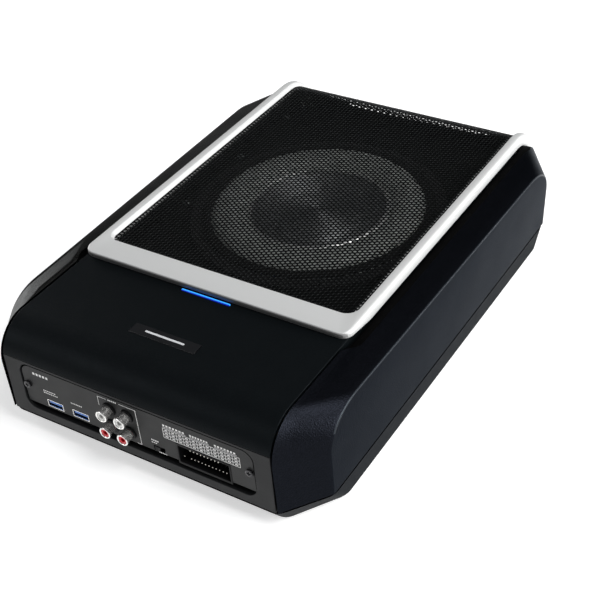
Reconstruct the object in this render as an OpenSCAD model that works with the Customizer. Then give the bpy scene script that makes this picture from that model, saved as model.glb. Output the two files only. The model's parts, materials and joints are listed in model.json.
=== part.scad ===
// Powered under-seat car subwoofer: a shallow wedge-cornered enclosure with a
// built-in amplifier. Local coordinates inside place(): x across, y back from
// the front face, z up from the line where the base tray meets the casing.

/* [Enclosure] */
// Width of the enclosure at its base
body_w = 250; // [246:1:254]
// Depth from the front face to the rear face
body_d = 370; // [366:1:374]
// Width of the centre section between the side caps
centre_w = 206; // [204:1:208]
// Height of the base tray
tray_h = 13.5; // [12:0.5:14]
// Height of the rubber feet
feet_h = 1.5; // [1:0.5:3]
// Height of the casing's flat top above the tray line
shell_top = 64.4; // [62:0.2:66]
// Height of the silver trim's top above the tray line
trim_top = 70; // [69:0.2:71]
// Height of the flat front face above the tray line
face_h = 45; // [43:1:46]
// Wall thickness of the plastic casings
wall = 2.5; // [2:0.1:3]

/* [Side caps] */
// Depth of the slanted corner seen from above
corner_d = 29; // [26:1:32]
// Height of the outer crease line above the tray line
crease_top = 57; // [54:1:58]
// Outward lean of the side caps at the crease's front corner
front_flare = 0.6; // [0:0.2:2]
// Outward lean of the side caps at the crease's rear corner
rear_flare = 3.4; // [0:0.2:4]
// Depth of the outer crease line's corner, seen from the side
crease_ry = 33; // [28:1:36]
// Height of the outer crease line's corner, seen from the side
crease_rz = 25; // [22:1:30]
// Corner radius of the casing, seen from the side
shell_r = 27; // [24:1:29]

/* [Grille and trim] */
// Half width of the perforated grille
grille_half = 96; // [94:0.5:96]
// Distance from the front face to the grille's front edge
grille_y = 106; // [104:1:110]
// Distance from the front face to the trim's front edge
trim_y = 89; // [87:1:90]
// Half width over the trim's outer sides
trim_half = 104; // [103.5:0.25:104]

/* [Loudspeaker] */
// Distance from the front face to the loudspeaker's axis
driver_y = 223; // [221:1:225]
// Outer radius of the rubber roll
roll_out_r = 77; // [76:0.5:78]
// Inner radius of the rubber roll, where the cone begins
roll_in_r = 53; // [52:0.5:54]
// Height of the rubber roll
roll_h = 8; // [6:0.5:9]
// Radius of the voice coil's former, inside
coil_r = 25.4; // [25.2:0.1:25.6]

/* [Connectors] */
// Spacing of the phono jacks, both ways
jack_pitch = 13.8; // [13.5:0.1:14]
// How far the phono jacks stand out past the front face
jack_out = 6.5; // [6:0.25:7]
// Radius of a phono jack's front lip
jack_r = 4.15; // [4.1:0.05:4.2]
// Number of evenly spaced contacts in the power socket's lower row
contacts = 11; // [9:1:11]
// Travel of the slide switch
switch_travel = 3; // [2:0.5:3]

/* [Mounting] */
// Spacing of the bracket screw holes across the base
mount_x = 184; // [170:1:190]
// Spacing of the bracket screw holes along the base
mount_y = 220; // [200:1:230]
// Radius of the tapped bracket holes (M5 tapping size)
mount_r = 2.1; // [2.1:0.05:2.5]

/* [Hidden] */
$fn = 64;

eps = 0.05;
gap = 0.4;                              // visible parting gap between casings
rear_out = 1.5;                         // how far the trim stands proud of the rear face
line_z = feet_h + tray_h;               // height of the tray line above the floor
front_y = jack_out - (body_d + jack_out + rear_out) / 2;
centre_x = centre_w / 2;
side_x = body_w / 2;
rear_y = body_d;
floor_z = wall - tray_h;                // inside floor of the tray
base_z = -tray_h;
tray_slope = 9;                         // how far the tray's front and rear lean in
// Front face details
open_half = 90;
open_lo = 6.5;
open_hi = 42.7;
plate_y = 1.5;                          // front of the recessed connector plate
plate_t = 1.5;
plate_lo = 10.5;
face_lean = 1.1;                        // the front face leans back by this over its height
// Rear ends of the trim and grille
arch_lo = 38;
trim_arch_r = trim_top - arch_lo;
trim_arch_y = rear_y + rear_out - trim_arch_r;
grille_t = 1.2;
grille_top = 67.2;
grille_arch_r = grille_top - arch_lo;
grille_arch_y = trim_arch_y - 0.5;
channel_w = 5;                          // dark channel beside the trim
channel_z = 60;
// Loudspeaker levels
baffle_z = 44;
baffle_t = 3;
flange_z = baffle_z + baffle_t;
flange_t = 2.5;
rim_z = flange_z + flange_t;            // where the rubber roll is glued on
skin = 0.8;                             // thickness of the roll
cone_top = rim_z;
neck_z = 39.5;
plate_top = 16;
gap_r = coil_r + 1.8;                   // radius of the hole in the top plate
magnet_z = -3;
magnet_t = 13;
yoke_z = magnet_z - 5.5;
// Amplifier levels
board_z = 4;
board_t = 1.6;
deck_z = board_z + board_t;
// Connector places
usb_x = [-65.5, -44.5];
usb_z = 15;
jack_x = [-18.2, -18.2 + jack_pitch];
jack_z = [31.5, 31.5 - jack_pitch];
collar_r = 4.9;                         // black collar at the foot of each jack
collar_y = 0.2;
socket_x = 51.9;
socket_z = 17.25;
socket_w = 40;
socket_h = 15.7;
pin_tip_y = 3.4;                        // front ends of the power socket's contacts
switch_x = 18;
switch_z = 12;
screw_x = 86;
screw_z = 25.4;

// ---------- helpers ----------

module place() {
    translate([0, front_y, line_z]) children();
}

// Extrudes a (y, z) outline from x0 to x1
module along_x(x0, x1) {
    translate([x0, 0, 0]) rotate([90, 0, 90]) linear_extrude(x1 - x0) children();
}

// Extrudes an (x, z) outline from y0 back to y1
module along_y(y0, y1) {
    translate([0, y1, 0]) rotate([90, 0, 0]) linear_extrude(y1 - y0) children();
}

module block(x0, x1, y0, y1, z0, z1) {
    translate([x0, y0, z0]) cube([x1 - x0, y1 - y0, z1 - z0]);
}

module rod_y(r, x, z, y0, y1) {
    translate([x, y0, z]) rotate([-90, 0, 0]) cylinder(r = r, h = y1 - y0);
}

module rod_z(r, x, y, z0, z1) {
    translate([x, y, z0]) cylinder(r = r, h = z1 - z0);
}

module at_driver() {
    translate([0, driver_y, 0]) children();
}

module washer(r_out, r_in, z0, z1) {
    translate([0, 0, z0]) difference() {
        cylinder(r = r_out, h = z1 - z0, $fn = 96);
        translate([0, 0, -1]) cylinder(r = r_in, h = z1 - z0 + 2, $fn = 96);
    }
}

module rounded_box(x0, x1, z0, z1, r) {
    for (x = [x0 + r, x1 - r], z = [z0 + r, z1 - r]) translate([x, z]) circle(r, $fn = 32);
    translate([x0 + r, z0]) square([x1 - x0 - 2 * r, z1 - z0]);
    translate([x0, z0 + r]) square([x1 - x0, z1 - z0 - 2 * r]);
}

// Side outline of the casing, drawn in from its edges by an inset
module casing_outline(inset = 0) {
    r = shell_r - inset;
    for (y = [shell_r, rear_y - shell_r]) translate([y, shell_top - shell_r]) circle(r);
    translate([shell_r, 0]) square([rear_y - 2 * shell_r, shell_top - inset]);
    translate([inset, 0]) square([rear_y - 2 * inset, shell_top - shell_r]);
}

// Side outline of the outer crease of a side cap
function crease_points(inset) = let (ry = crease_ry - inset, rz = crease_rz - inset,
    y1 = corner_d + crease_ry, y2 = rear_y - corner_d - crease_ry, z1 = crease_top - crease_rz) concat(
    [[y1 - ry, 0]], [for (a = [0:7.5:90]) [y1 - ry * cos(a), z1 + rz * sin(a)]],
    [for (a = [90:-7.5:0]) [y2 + ry * cos(a), z1 + rz * sin(a)]], [[y2 + ry, 0]]);

module crease_outline(inset = 0) {
    polygon(crease_points(inset));
}

// Plan of the tray, with its corners cut off
module tray_plan(inset, lean) {
    x1 = centre_x - lean / 8 - inset;
    x2 = side_x - inset;
    y1 = lean + inset;
    y2 = corner_d + lean * 1.5 + inset / 2;
    ys = [y1, y2, rear_y - y2, rear_y - y1];
    polygon([[-x1, ys[0]], [x1, ys[0]], [x2, ys[1]], [x2, ys[2]],
        [x1, ys[3]], [-x1, ys[3]], [-x2, ys[2]], [-x2, ys[1]]]);
}

// Tube of radius r along a path of points, with n sides
function unit(v) = v / norm(v);
function path_dir(p, i) = unit(p[min(i + 1, len(p) - 1)] - p[max(i - 1, 0)]);
function ring(c, d, r, n) =
    let (u = unit(cross(d, abs(d[2]) > 0.9 ? [1, 0, 0] : [0, 0, 1])), v = cross(d, u))
    [for (k = [0:n - 1]) c + r * (cos(360 * k / n) * u + sin(360 * k / n) * v)];

module tube(path, r, n = 10) {
    m = len(path);
    points = [for (i = [0:m - 1]) each ring(path[i], path_dir(path, i), r, n)];
    sides = [for (i = [0:m - 2], k = [0:n - 1]) let (k2 = (k + 1) % n)
        [i * n + k, (i + 1) * n + k, (i + 1) * n + k2, i * n + k2]];
    first = [for (k = [0:n - 1]) k];
    last = [for (k = [n - 1:-1:0]) (m - 1) * n + k];
    polyhedron(points, concat(sides, [first], [last]));
}

// ---------- casing ----------

mount_places = [for (x = [-mount_x / 2, mount_x / 2],
    y = [rear_y / 2 - mount_y / 2, rear_y / 2 + mount_y / 2]) [x, y]];
tray_screw_places = [for (x = [-88, 88], y = [26, 185, 344]) [x, y]];
pillar_places = [for (x = [-80, 80], y = [18, 84]) [x, y]];

module base_tray() {
    groove_gap = 6.5;
    groove_w = 4.4;
    groove_h = 1.2;
    color("dimgray") place() difference() {
        union() {
            difference() {
                hull() {
                    translate([0, 0, -eps]) linear_extrude(eps) tray_plan(0, 0);
                    translate([0, 0, base_z]) linear_extrude(eps) tray_plan(0, tray_slope);
                }
                hull() {
                    translate([0, 0, 1]) linear_extrude(eps) tray_plan(wall, 0);
                    translate([0, 0, floor_z]) linear_extrude(eps) tray_plan(wall, tray_slope);
                }
            }
            for (p = mount_places) rod_z(6, p[0], p[1], floor_z - eps, floor_z + 8);
            for (p = tray_screw_places) rod_z(4.5, p[0], p[1], floor_z - eps, floor_z + 6);
        }
        // grooves that leave cooling ribs under the amplifier
        for (i = [-11:11]) block(i * groove_gap - groove_w / 2, i * groove_gap + groove_w / 2,
            22, 96, base_z - 1, base_z + groove_h);
        for (p = mount_places) rod_z(mount_r, p[0], p[1], base_z - 1, base_z + 9);
        for (p = tray_screw_places) {
            rod_z(1.6, p[0], p[1], base_z - 1, floor_z + 7);
            rod_z(3.4, p[0], p[1], base_z - 1, base_z + 1.6);
        }
    }
}

module rubber_feet() {
    color("black") place() for (x = [-109, 109], y = [62, rear_y - 62])
        rod_z(9, x, y, base_z - feet_h, base_z);
}

module pan_screw(head_r, head_h, shank_r, shank_l) {
    difference() {
        cylinder(r = head_r, h = head_h);
        for (a = [0, 90]) rotate(a) translate([-head_r * 0.55, -0.35, head_h - 0.7])
            cube([head_r * 1.1, 0.7, 1]);
    }
    translate([0, 0, -shank_l]) cylinder(r = shank_r, h = shank_l + eps);
}

module tray_screws() {
    color("silver") place() for (p = tray_screw_places)
        translate([p[0], p[1], base_z + 1.6]) rotate([180, 0, 0]) pan_screw(3, 1.5, 1.4, 12);
}

module front_bezel() {
    frame_d = 7;
    color("dimgray") place() difference() {
        union() {
            along_x(-centre_x + gap, centre_x - gap) polygon([[0, 0.1], [3.2, 0.1],
                [3.2 + face_lean, face_h - 0.2], [face_lean, face_h - 0.2]]);
            block(-open_half - 2, open_half + 2, 2, frame_d, open_lo - 2.5, open_hi + 1.6);
        }
        along_y(-1, frame_d + 1) rounded_box(-open_half, open_half, open_lo, open_hi, 6);
    }
    // back wall of the groove under the connector plate
    color("dimgray") place()
        block(-open_half - 1, open_half + 1, frame_d - 1.5, frame_d, open_lo - 2, 9.3);
    // bosses that the connector plate is screwed to
    color("dimgray") place() for (s = [-1, 1]) difference() {
        block(s > 0 ? 82 : -open_half - eps, s > 0 ? open_half + eps : -82,
            plate_y + plate_t, frame_d, screw_z - 5, screw_z + 5);
        rod_y(1.1, s * screw_x, screw_z, 0, frame_d + 1);
    }
}

module connector_plate() {
    color([0.16, 0.17, 0.17]) place() difference() {
        along_y(plate_y, plate_y + plate_t) difference() {
            rounded_box(-open_half + gap, open_half - gap, plate_lo - 8, open_hi - gap, 5.6);
            translate([-open_half, -20]) square([2 * open_half, 20 + plate_lo]);
        }
        for (x = usb_x) block(x - 6.7, x + 6.7, 0, 5, usb_z - 3, usb_z + 3);
        for (x = jack_x, z = jack_z) rod_y(collar_r + 0.1, x, z, 0, 5);
        block(socket_x - socket_w / 2 - 0.1, socket_x + socket_w / 2 + 0.1, 0, 5, 0,
            socket_z + socket_h / 2 + 0.1);
        block(switch_x - 4.5, switch_x + 4.5, 0, 5, switch_z - 1, switch_z + 3.5);
        for (s = [-1, 1]) rod_y(1.6, s * screw_x, screw_z, 0, 5);
    }
}

module plate_screws() {
    color("black") place() for (s = [-1, 1]) translate([s * screw_x, plate_y, screw_z])
        rotate([90, 0, 0]) pan_screw(2.7, 1.3, 1.05, 7);
}

module rear_panel() {
    vent_w = 1.8;
    color("black") place() difference() {
        union() {
            block(-centre_x + gap, centre_x - gap, rear_y - wall, rear_y, 0.1, arch_lo - 0.4);
            block(-centre_x + 6, centre_x - 6, rear_y - wall - 4, rear_y - wall + eps, 0.1, 4);
        }
        for (i = [-14:14]) block(i * 4.5 - vent_w / 2, i * 4.5 + vent_w / 2,
            rear_y - 10, rear_y + 1, 12, 28);
    }
}

module top_shell() {
    ledge = 93;
    color([0.07, 0.07, 0.08]) place() difference() {
        along_x(-centre_x + gap, centre_x - gap) difference() {
            casing_outline();
            casing_outline(wall);
        }
        // ends at the front face and, at the rear, at the lower end of the grille
        block(-side_x, side_x, -1, rear_y / 2, -1, face_h);
        block(-side_x, side_x, rear_y / 2, rear_y + 1, -1, arch_lo);
        // window under the grille
        block(-ledge, ledge, grille_y + 3, grille_arch_y, arch_lo, 80);
        block(-grille_half - gap, grille_half + gap, grille_arch_y - eps, rear_y + 1, -1, 80);
        // slot for the light bar, and a pocket for the badge
        block(-20.6, 20.6, trim_y - 2.7, trim_y - 0.1, 50, 80);
        block(-25.1, 25.1, 37.9, 47.1, shell_top - 0.8, 80);
    }
}

// Crease outlines drawn in from the side by an inset, leaning out more at the rear than at the front
module crease_slices(inset) {
    x = side_x - inset;
    for (rear = [false, true]) multmatrix([[1, 0, (rear ? rear_flare : front_flare) / crease_top, 0],
        [0, 1, 0, 0], [0, 0, 1, 0]])
        along_x(x - eps, x) intersection() {
            crease_outline(inset * 0.8);
            translate([rear ? rear_y - corner_d - crease_ry : 0, 0]) square(rear_y);
        }
}

module side_cap() {
    inner = centre_x;
    difference() {
        hull() {
            along_x(inner, inner + eps) casing_outline();
            crease_slices(0);
        }
        translate([0, 0, -1]) hull() {
            along_x(inner - 1, inner - 1 + eps) casing_outline(wall);
            crease_slices(wall);
        }
        // channel beside the trim, open at the rear
        block(inner - 1, inner + channel_w, trim_y - 4, rear_y + 5, channel_z, 80);
        block(inner - 1, trim_half + 0.3, grille_arch_y, rear_y + 5, arch_lo - 1, 80);
    }
    // floor of the channel and the ribs that stiffen the cap
    block(inner + 0.05, inner + channel_w + 2, trim_y - 6, rear_y - 35, channel_z - 2.2, channel_z - 0.05);
    for (y = [90, 185, 280]) block(inner + 2, side_x - wall + 0.2, y - 1, y + 1, 1, 40);
}

module side_cap_right() {
    color([0.09, 0.09, 0.11]) place() side_cap();
}

module side_cap_left() {
    color([0.09, 0.09, 0.11]) place() mirror([1, 0, 0]) side_cap();
}

// ---------- trim, grille, light and badge ----------

// Side outline of the trim or grille from its front edge over the rear arch
module arch_outline(y0, top, arch_y, arch_r) {
    translate([arch_y, arch_lo]) intersection() {
        circle(arch_r, $fn = 96);
        square(arch_r + 1);
    }
    translate([y0, arch_lo]) square([arch_y - y0 + eps, top - arch_lo]);
}

module trim_frame() {
    inner = grille_half + gap;
    color("silver") place() {
        // the two arms, over the casing's rails and down the rear
        for (s = [-1, 1]) difference() {
            along_x(s > 0 ? inner : -trim_half, s > 0 ? trim_half : -inner)
                arch_outline(trim_y, trim_top, trim_arch_y, trim_arch_r);
            along_x(-centre_x + 0.1, centre_x - 0.1) casing_outline();
            along_x(-trim_half - 1, trim_half + 1) casing_outline(wall + 1);
            block(-side_x, side_x, 0, rear_y - shell_r, -1, channel_z + 1);
            // rounded outer front corners
            for (t = [-1, 1]) difference() {
                block(t > 0 ? trim_half - 8 : -trim_half - 1, t > 0 ? trim_half + 1 : -trim_half + 8,
                    trim_y - 1, trim_y + 8, 0, 80);
                rod_z(8, t * (trim_half - 8), trim_y + 8, 0, 80);
            }
        }
        // the front bar, lower at its front edge
        along_x(-inner - eps, inner + eps) polygon([[trim_y, shell_top],
            [grille_y - gap, shell_top], [grille_y - gap, trim_top - 0.5],
            [grille_y - gap - 2, trim_top], [trim_y + 1, trim_top - 1.2], [trim_y, trim_top - 2]]);
        // fillers in the inner front corners
        for (s = [-1, 1]) difference() {
            block(s > 0 ? inner - 6 : -inner - eps, s > 0 ? inner + eps : -inner + 6,
                grille_y - gap - eps, grille_y + 6, grille_top + 0.1, trim_top - 0.6);
            rod_z(6, s * (inner - 6), grille_y + 6, 0, 80);
        }
    }
}

module grille() {
    color([0.05, 0.05, 0.05]) place() difference() {
        along_x(-grille_half, grille_half)
            arch_outline(grille_y, grille_top, grille_arch_y, grille_arch_r);
        along_x(-grille_half + grille_t, grille_half - grille_t)
            arch_outline(grille_y + grille_t, grille_top - grille_t, grille_arch_y, grille_arch_r - grille_t);
        block(-side_x, side_x, 0, grille_arch_y - 0.1, 0, shell_top);
        block(-side_x, side_x, grille_arch_y - 1, rear_y - wall - 0.3, 0, arch_lo + eps);
        along_x(-side_x, side_x) translate([grille_arch_y, arch_lo])
            intersection() {
                circle(grille_arch_r - grille_t, $fn = 96);
                square(80);
            }
    }
}

module light_bar() {
    color([0.1, 0.45, 1.0]) place()
        block(-20.5, 20.5, trim_y - 2.6, trim_y - 0.2, shell_top - 4, shell_top + 0.3);
}

module light_board() {
    color("darkgreen") place() {
        block(-24, 24, trim_y - 6, trim_y + 4, 55, 56.2);
        for (x = [-14, 0, 14]) block(x - 1.6, x + 1.6, trim_y - 2.4, trim_y - 0.4, 56.2, 57.4);
    }
}

module name_badge() {
    color([0.12, 0.12, 0.13]) place() block(-25, 25, 38, 47, shell_top - 0.8, shell_top + 0.25);
}

// ---------- inner structure ----------

baffle_screw_places = [for (x = [-95, 95], y = [114, 190, 262, 328]) [x, y]];

module inner_baffle() {
    wide = centre_x - 4;
    deck_rear = grille_arch_y - 4;
    color([0.1, 0.1, 0.1]) place() difference() {
        union() {
            block(-wide, wide, 104, deck_rear, baffle_z, baffle_z + baffle_t);
            block(-wide, wide, 104, 107, floor_z + 0.05, baffle_z + eps);
            block(-wide, wide, deck_rear - 3, deck_rear, 33, baffle_z + eps);
            block(-wide, wide, deck_rear - eps, rear_y - wall - 0.1, 33, 36);
        }
        translate([0, driver_y, 0]) cylinder(r = 81, h = 60, $fn = 96);
        rod_y(5, lead_path[3][0], lead_path[3][2], 100, 110);
        for (p = baffle_screw_places) rod_z(1.6, p[0], p[1], 40, 50);
        at_driver() for (i = [0:5]) rotate(60 * i) translate([88.5, 0, 40]) cylinder(r = 2, h = 20);
    }
}

module baffle_screws() {
    color("silver") place() for (p = baffle_screw_places)
        translate([p[0], p[1], flange_z]) pan_screw(3, 1.8, 1.4, 9);
}

// ---------- loudspeaker ----------

module woofer_basket() {
    color([0.14, 0.14, 0.15]) place() at_driver() difference() {
        rotate_extrude($fn = 96) polygon([[78, flange_z], [93, flange_z], [93, rim_z], [78, rim_z],
            [75.5, rim_z - 2], [64, 28], [58, 28], [58, 25.5], [52, 18.5], [29, 18.5], [29, plate_top],
            [53, plate_top], [60.5, 25.5], [66, 25.5], [79.5, flange_z - 1]]);
        for (i = [0:5]) rotate(60 * i + 30) intersection() {
            translate([60, -19, 28.5]) cube([25, 38, 14]);
            washer(78.5, 62, 28.5, 42.5);
        }
        for (i = [0:5]) rotate(60 * i) translate([88.5, 0, 40]) cylinder(r = 2, h = 20);
    }
}

module woofer_gasket() {
    color([0.05, 0.05, 0.05]) place() at_driver() washer(84.5, 77.5, rim_z + skin, rim_z + skin + 1.8);
}

module woofer_screws() {
    color("silver") place() at_driver() for (i = [0:5]) rotate(60 * i)
        translate([88.5, 0, rim_z]) pan_screw(3.4, 2, 1.8, 9);
}

roll_mid = (roll_out_r + roll_in_r) / 2;
roll_half = (roll_out_r - roll_in_r) / 2;
function roll(h, w, n) = [for (i = [0:n]) let (a = 180 * i / n)
    [roll_mid + w * cos(a), rim_z + h * sin(a)]];

module surround() {
    inner = roll(roll_h - skin, roll_half - skin, 16);
    color([0.2, 0.2, 0.2]) place() at_driver() rotate_extrude($fn = 96) polygon(concat(
        [[84, rim_z], [84, rim_z + skin]], roll(roll_h, roll_half, 16),
        [[roll_in_r - 4, rim_z + skin], [roll_in_r - 4, rim_z]],
        [for (i = [16:-1:0]) inner[i]]));
}

module cone() {
    color([0.16, 0.16, 0.17]) place() at_driver() rotate_extrude($fn = 96) polygon([
        [roll_in_r - 0.3, cone_top - 0.1], [roll_in_r - 4.5, cone_top - 0.1], [27.2, neck_z + 1.2],
        [coil_r + 0.35, neck_z + 1.2], [coil_r + 0.35, neck_z], [27.6, neck_z],
        [roll_in_r - 4, cone_top - 1.3], [roll_in_r - 0.3, cone_top - 1.3]]);
}

cap_edge_r = 33;
cap_edge_z = neck_z + 1.2 + (cone_top - 0.1 - neck_z - 1.2) * (cap_edge_r - 27.2) / (roll_in_r - 4.5 - 27.2);

module dust_cap() {
    rise = 6;
    ball = (cap_edge_r * cap_edge_r + rise * rise) / (2 * rise);
    color([0.12, 0.12, 0.13]) place() at_driver() translate([0, 0, cap_edge_z + 0.3])
        intersection() {
            difference() {
                translate([0, 0, rise - ball]) sphere(ball, $fn = 96);
                translate([0, 0, rise - ball]) sphere(ball - 0.8, $fn = 96);
            }
            cylinder(r = cap_edge_r + 1, h = rise + 1, $fn = 96);
        }
}

module coil_former() {
    color([0.75, 0.6, 0.4]) place() at_driver() washer(coil_r + 0.3, coil_r, 6, neck_z + 1);
}

module coil_winding() {
    color([0.72, 0.4, 0.2]) place() at_driver() washer(coil_r + 1.3, coil_r + 0.3, 7.5, 18.5);
}

spider_z = 28.05;
spider_r = 63;
function spider_line(z, n) = [for (i = [0:n])
    let (t = i / n, wave = t < 0.1 || t > 0.9 ? 0 : 1.4 * sin(1800 * t))
    [coil_r + 0.35 + (spider_r - coil_r - 0.35) * t, z + wave]];

module spider() {
    n = 60;
    under = spider_line(spider_z, n);
    over = spider_line(spider_z + 0.6, n);
    color([0.75, 0.65, 0.35]) place() at_driver() rotate_extrude($fn = 72)
        polygon(concat(under, [for (i = [n:-1:0]) over[i]]));
}

module top_plate() {
    color("gray") place() at_driver() washer(50, gap_r, magnet_z + magnet_t, plate_top - 0.02);
}

module magnet() {
    color([0.2, 0.2, 0.21]) place() at_driver() washer(55, 31, magnet_z, magnet_z + magnet_t);
}

module yoke() {
    vent_r = 5;
    color("gray") place() at_driver() difference() {
        union() {
            translate([0, 0, yoke_z]) cylinder(r = 50, h = magnet_z - yoke_z, $fn = 96);
            translate([0, 0, yoke_z]) cylinder(r = coil_r - 0.5, h = plate_top - yoke_z, $fn = 96);
        }
        translate([0, 0, yoke_z - 1]) cylinder(r = vent_r, h = 40);
    }
}

lead_turn = -62;                        // angle of the terminals round the basket

module woofer_terminals() {
    color([0.75, 0.62, 0.3]) place() at_driver() rotate(lead_turn) for (s = [-1, 1])
        translate([71.8, s * 2.6 - 1, 33]) cube([6, 2, 0.8]);
}

// Middle line between the two leads, from the amplifier board to the terminals
lead_path = [[70, 88, 6.6], [70, 94, 7.4], [70, 99, 8], [70, 106, 8], [70, 113, 7.2], [69.5, 121, 4.6],
    [69, 129, 2.4], [68.5, 137, 2], [68, 144, 4], [67, 149.5, 8.5], [65, 152.5, 14], [61.5, 153.5, 19],
    [56.5, 154, 24], [50, 154.5, 28], [43, 155.2, 30.6], [36, 156.6, 31.4]];
function lead(side) = [for (i = [0:len(lead_path) - 1]) let (turn = 90 * min(1, max(0, i - 7) / 5))
    lead_path[i] + side * 1.5 * [cos(turn), sin(turn), 0]];

module speaker_leads() {
    color([0.6, 0.08, 0.06]) place() tube(lead(1), 1);
    color([0.05, 0.05, 0.05]) place() tube(lead(-1), 1);
}

// ---------- amplifier ----------

module amp_board() {
    color("darkgreen") place() difference() {
        block(-90, 90, 12, 92, board_z, deck_z);
        for (p = pillar_places) rod_z(1.7, p[0], p[1], 0, 10);
    }
}

module board_pillars() {
    color("silver") place() for (p = pillar_places) difference() {
        rod_z(3.5, p[0], p[1], floor_z, board_z);
        rod_z(1.4, p[0], p[1], floor_z + 4, board_z + 1);
    }
}

module board_screws() {
    color("silver") place() for (p = pillar_places)
        translate([p[0], p[1], deck_z]) pan_screw(2.8, 1.6, 1.35, 6);
}

module capacitors() {
    color([0.1, 0.12, 0.2]) place() {
        for (i = [0:3]) rod_z(8, -30 + 20 * i, 62, deck_z, deck_z + 30);
        for (i = [0:4]) rod_z(4, -72 + 11 * i, 34, deck_z, deck_z + 12);
    }
}

choke_places = [[-62, 60], [66, 60]];

module choke_cores() {
    color([0.15, 0.3, 0.2]) place() for (p = choke_places) translate([p[0], p[1], 0])
        washer(11, 6, deck_z + 1.5, deck_z + 9.5);
}

module choke_windings() {
    turns = 12;
    color([0.72, 0.4, 0.2]) place() for (p = choke_places, i = [0:turns - 1])
        translate([p[0], p[1], deck_z + 5.5]) rotate(360 / turns * i) translate([8.5, 0, 0]) difference() {
            translate([-4, -0.7, -5.4]) cube([8, 1.4, 10.8]);
            translate([-2.6, -2, -4.05]) cube([5.2, 4, 8.1]);
        }
}

module board_chips() {
    color([0.08, 0.08, 0.08]) place() {
        block(-10, 6, 30, 46, deck_z, deck_z + 1.6);
        block(20, 31, 32, 43, deck_z, deck_z + 1.4);
        block(-34, -28, 42, 50, deck_z, deck_z + 1.6);
        for (i = [0:5]) block(40 + 7 * i, 44 + 7 * i, 36, 41, deck_z, deck_z + 1.3);
        for (i = [0:7]) block(-78 + 5 * i, -75.5 + 5 * i, 44, 46, deck_z, deck_z + 0.8);
    }
}

bar_y = 92.3;

module heat_bar() {
    color("silver") place() block(-64, 64, bar_y, bar_y + 5, floor_z + 0.02, deck_z + 22);
}

transistor_places = [for (i = [0:5]) -55 + 22 * i];

module output_transistors() {
    color([0.06, 0.06, 0.06]) place() for (x = transistor_places) {
        block(x - 5, x + 5, bar_y - 4.5, bar_y, deck_z + 4, deck_z + 19);
        for (k = [-1, 0, 1]) block(x + 2.5 * k - 0.4, x + 2.5 * k + 0.4,
            bar_y - 2.6, bar_y - 2, deck_z, deck_z + 4 + eps);
    }
}

module transistor_clamp() {
    color("silver") place() block(-62, 62, bar_y - 6, bar_y - 4.5, deck_z + 8, deck_z + 15);
}

// ---------- connectors ----------

module usb_shells() {
    color("silver") place() for (x = usb_x) difference() {
        block(x - 6.55, x + 6.55, plate_y - 0.2, 16, usb_z - 2.85, usb_z + 2.85);
        block(x - 6.1, x + 6.1, plate_y - 1, 15.5, usb_z - 2.4, usb_z + 2.4);
    }
}

module usb_tongues() {
    color([0.1, 0.35, 0.85]) place() for (x = usb_x)
        block(x - 5.5, x + 5.5, plate_y + 0.4, 15.5, usb_z - 0.1, usb_z + 2.0);
}

module usb_risers() {
    color([0.08, 0.08, 0.08]) place() for (x = usb_x)
        block(x - 6.5, x + 6.5, plate_y + 6, 16, deck_z, usb_z - 2.85);
}

module jack_block() {
    color([0.05, 0.05, 0.05]) place() difference() {
        union() {
            for (x = jack_x, z = jack_z) rod_y(collar_r, x, z, collar_y, 4);
            block(jack_x[0] - 7.2, jack_x[1] + 7.2, plate_y + plate_t + 0.05, 14,
                jack_z[1] - 6.8, jack_z[0] + 7);
            block(jack_x[0] - 7.2, jack_x[1] + 7.2, 10, 24, deck_z, jack_z[0] + 7);
        }
        for (x = jack_x, z = jack_z) rod_y(3.05, x, z, -5, 6);
        for (x = jack_x, z = jack_z) rod_y(1.6, x, z, 0, 12);
    }
}

module jack_barrels() {
    color("silver") place() for (x = jack_x, z = jack_z) difference() {
        union() {
            rod_y(3.55, x, z, 1 - jack_out, collar_y);
            rod_y(jack_r, x, z, -jack_out, 2 - jack_out);
        }
        rod_y(3.05, x, z, -20, 20);
    }
}

module jack_insert(x, z) {
    difference() {
        rod_y(3.05, x, z, 0.4 - jack_out, 6);
        rod_y(1.9, x, z, -20, 20);
    }
}

module jack_inserts_white() {
    color("white") place() for (x = jack_x) jack_insert(x, jack_z[0]);
}

module jack_inserts_red() {
    color([0.75, 0.05, 0.08]) place() for (x = jack_x) jack_insert(x, jack_z[1]);
}

module jack_contacts() {
    color("silver") place() for (x = jack_x, z = jack_z) difference() {
        rod_y(1.9, x, z, 0.8 - jack_out, 6);
        rod_y(1.6, x, z, -20, 5);
    }
}

module power_socket() {
    left = socket_x - socket_w / 2;
    right = socket_x + socket_w / 2;
    low = socket_z - socket_h / 2;
    high = socket_z + socket_h / 2;
    side_wall = 1.3;
    color([0.04, 0.04, 0.04]) place() difference() {
        union() {
            block(left, right, plate_y - 0.2, 14, low, high);
            block(left, right, 10, 22, deck_z, high);
            // lip under the mouth
            block(left, right, plate_y - 0.2, 5.2, low - 1.2, low + eps);
        }
        difference() {
            block(left + side_wall, right - side_wall, 0, 10.3, low + 0.8, high - 1.5);
            // two ribs that key the plug
            for (x = [left + side_wall - eps, right - 9])
                block(x, x + 4.3, pin_tip_y, 11, high - 4, high);
        }
    }
}

module power_contacts() {
    pitch = 2.6;
    first_x = socket_x - 11.4;
    row_z = socket_z - 0.2;
    lower = [-2, each [0 : contacts - 1]];  // one contact stands apart at the left
    upper = [0 : contacts - 3];
    color([0.8, 0.75, 0.55]) place() {
        for (i = lower) contact(first_x + i * pitch, row_z - 3.35);
        for (i = upper) contact(first_x + i * pitch, row_z + 3.35);
    }
}

module contact(x, z) {
    block(x - 0.4, x + 0.4, pin_tip_y, 10.3, z - 0.4, z + 0.4);
}

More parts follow.
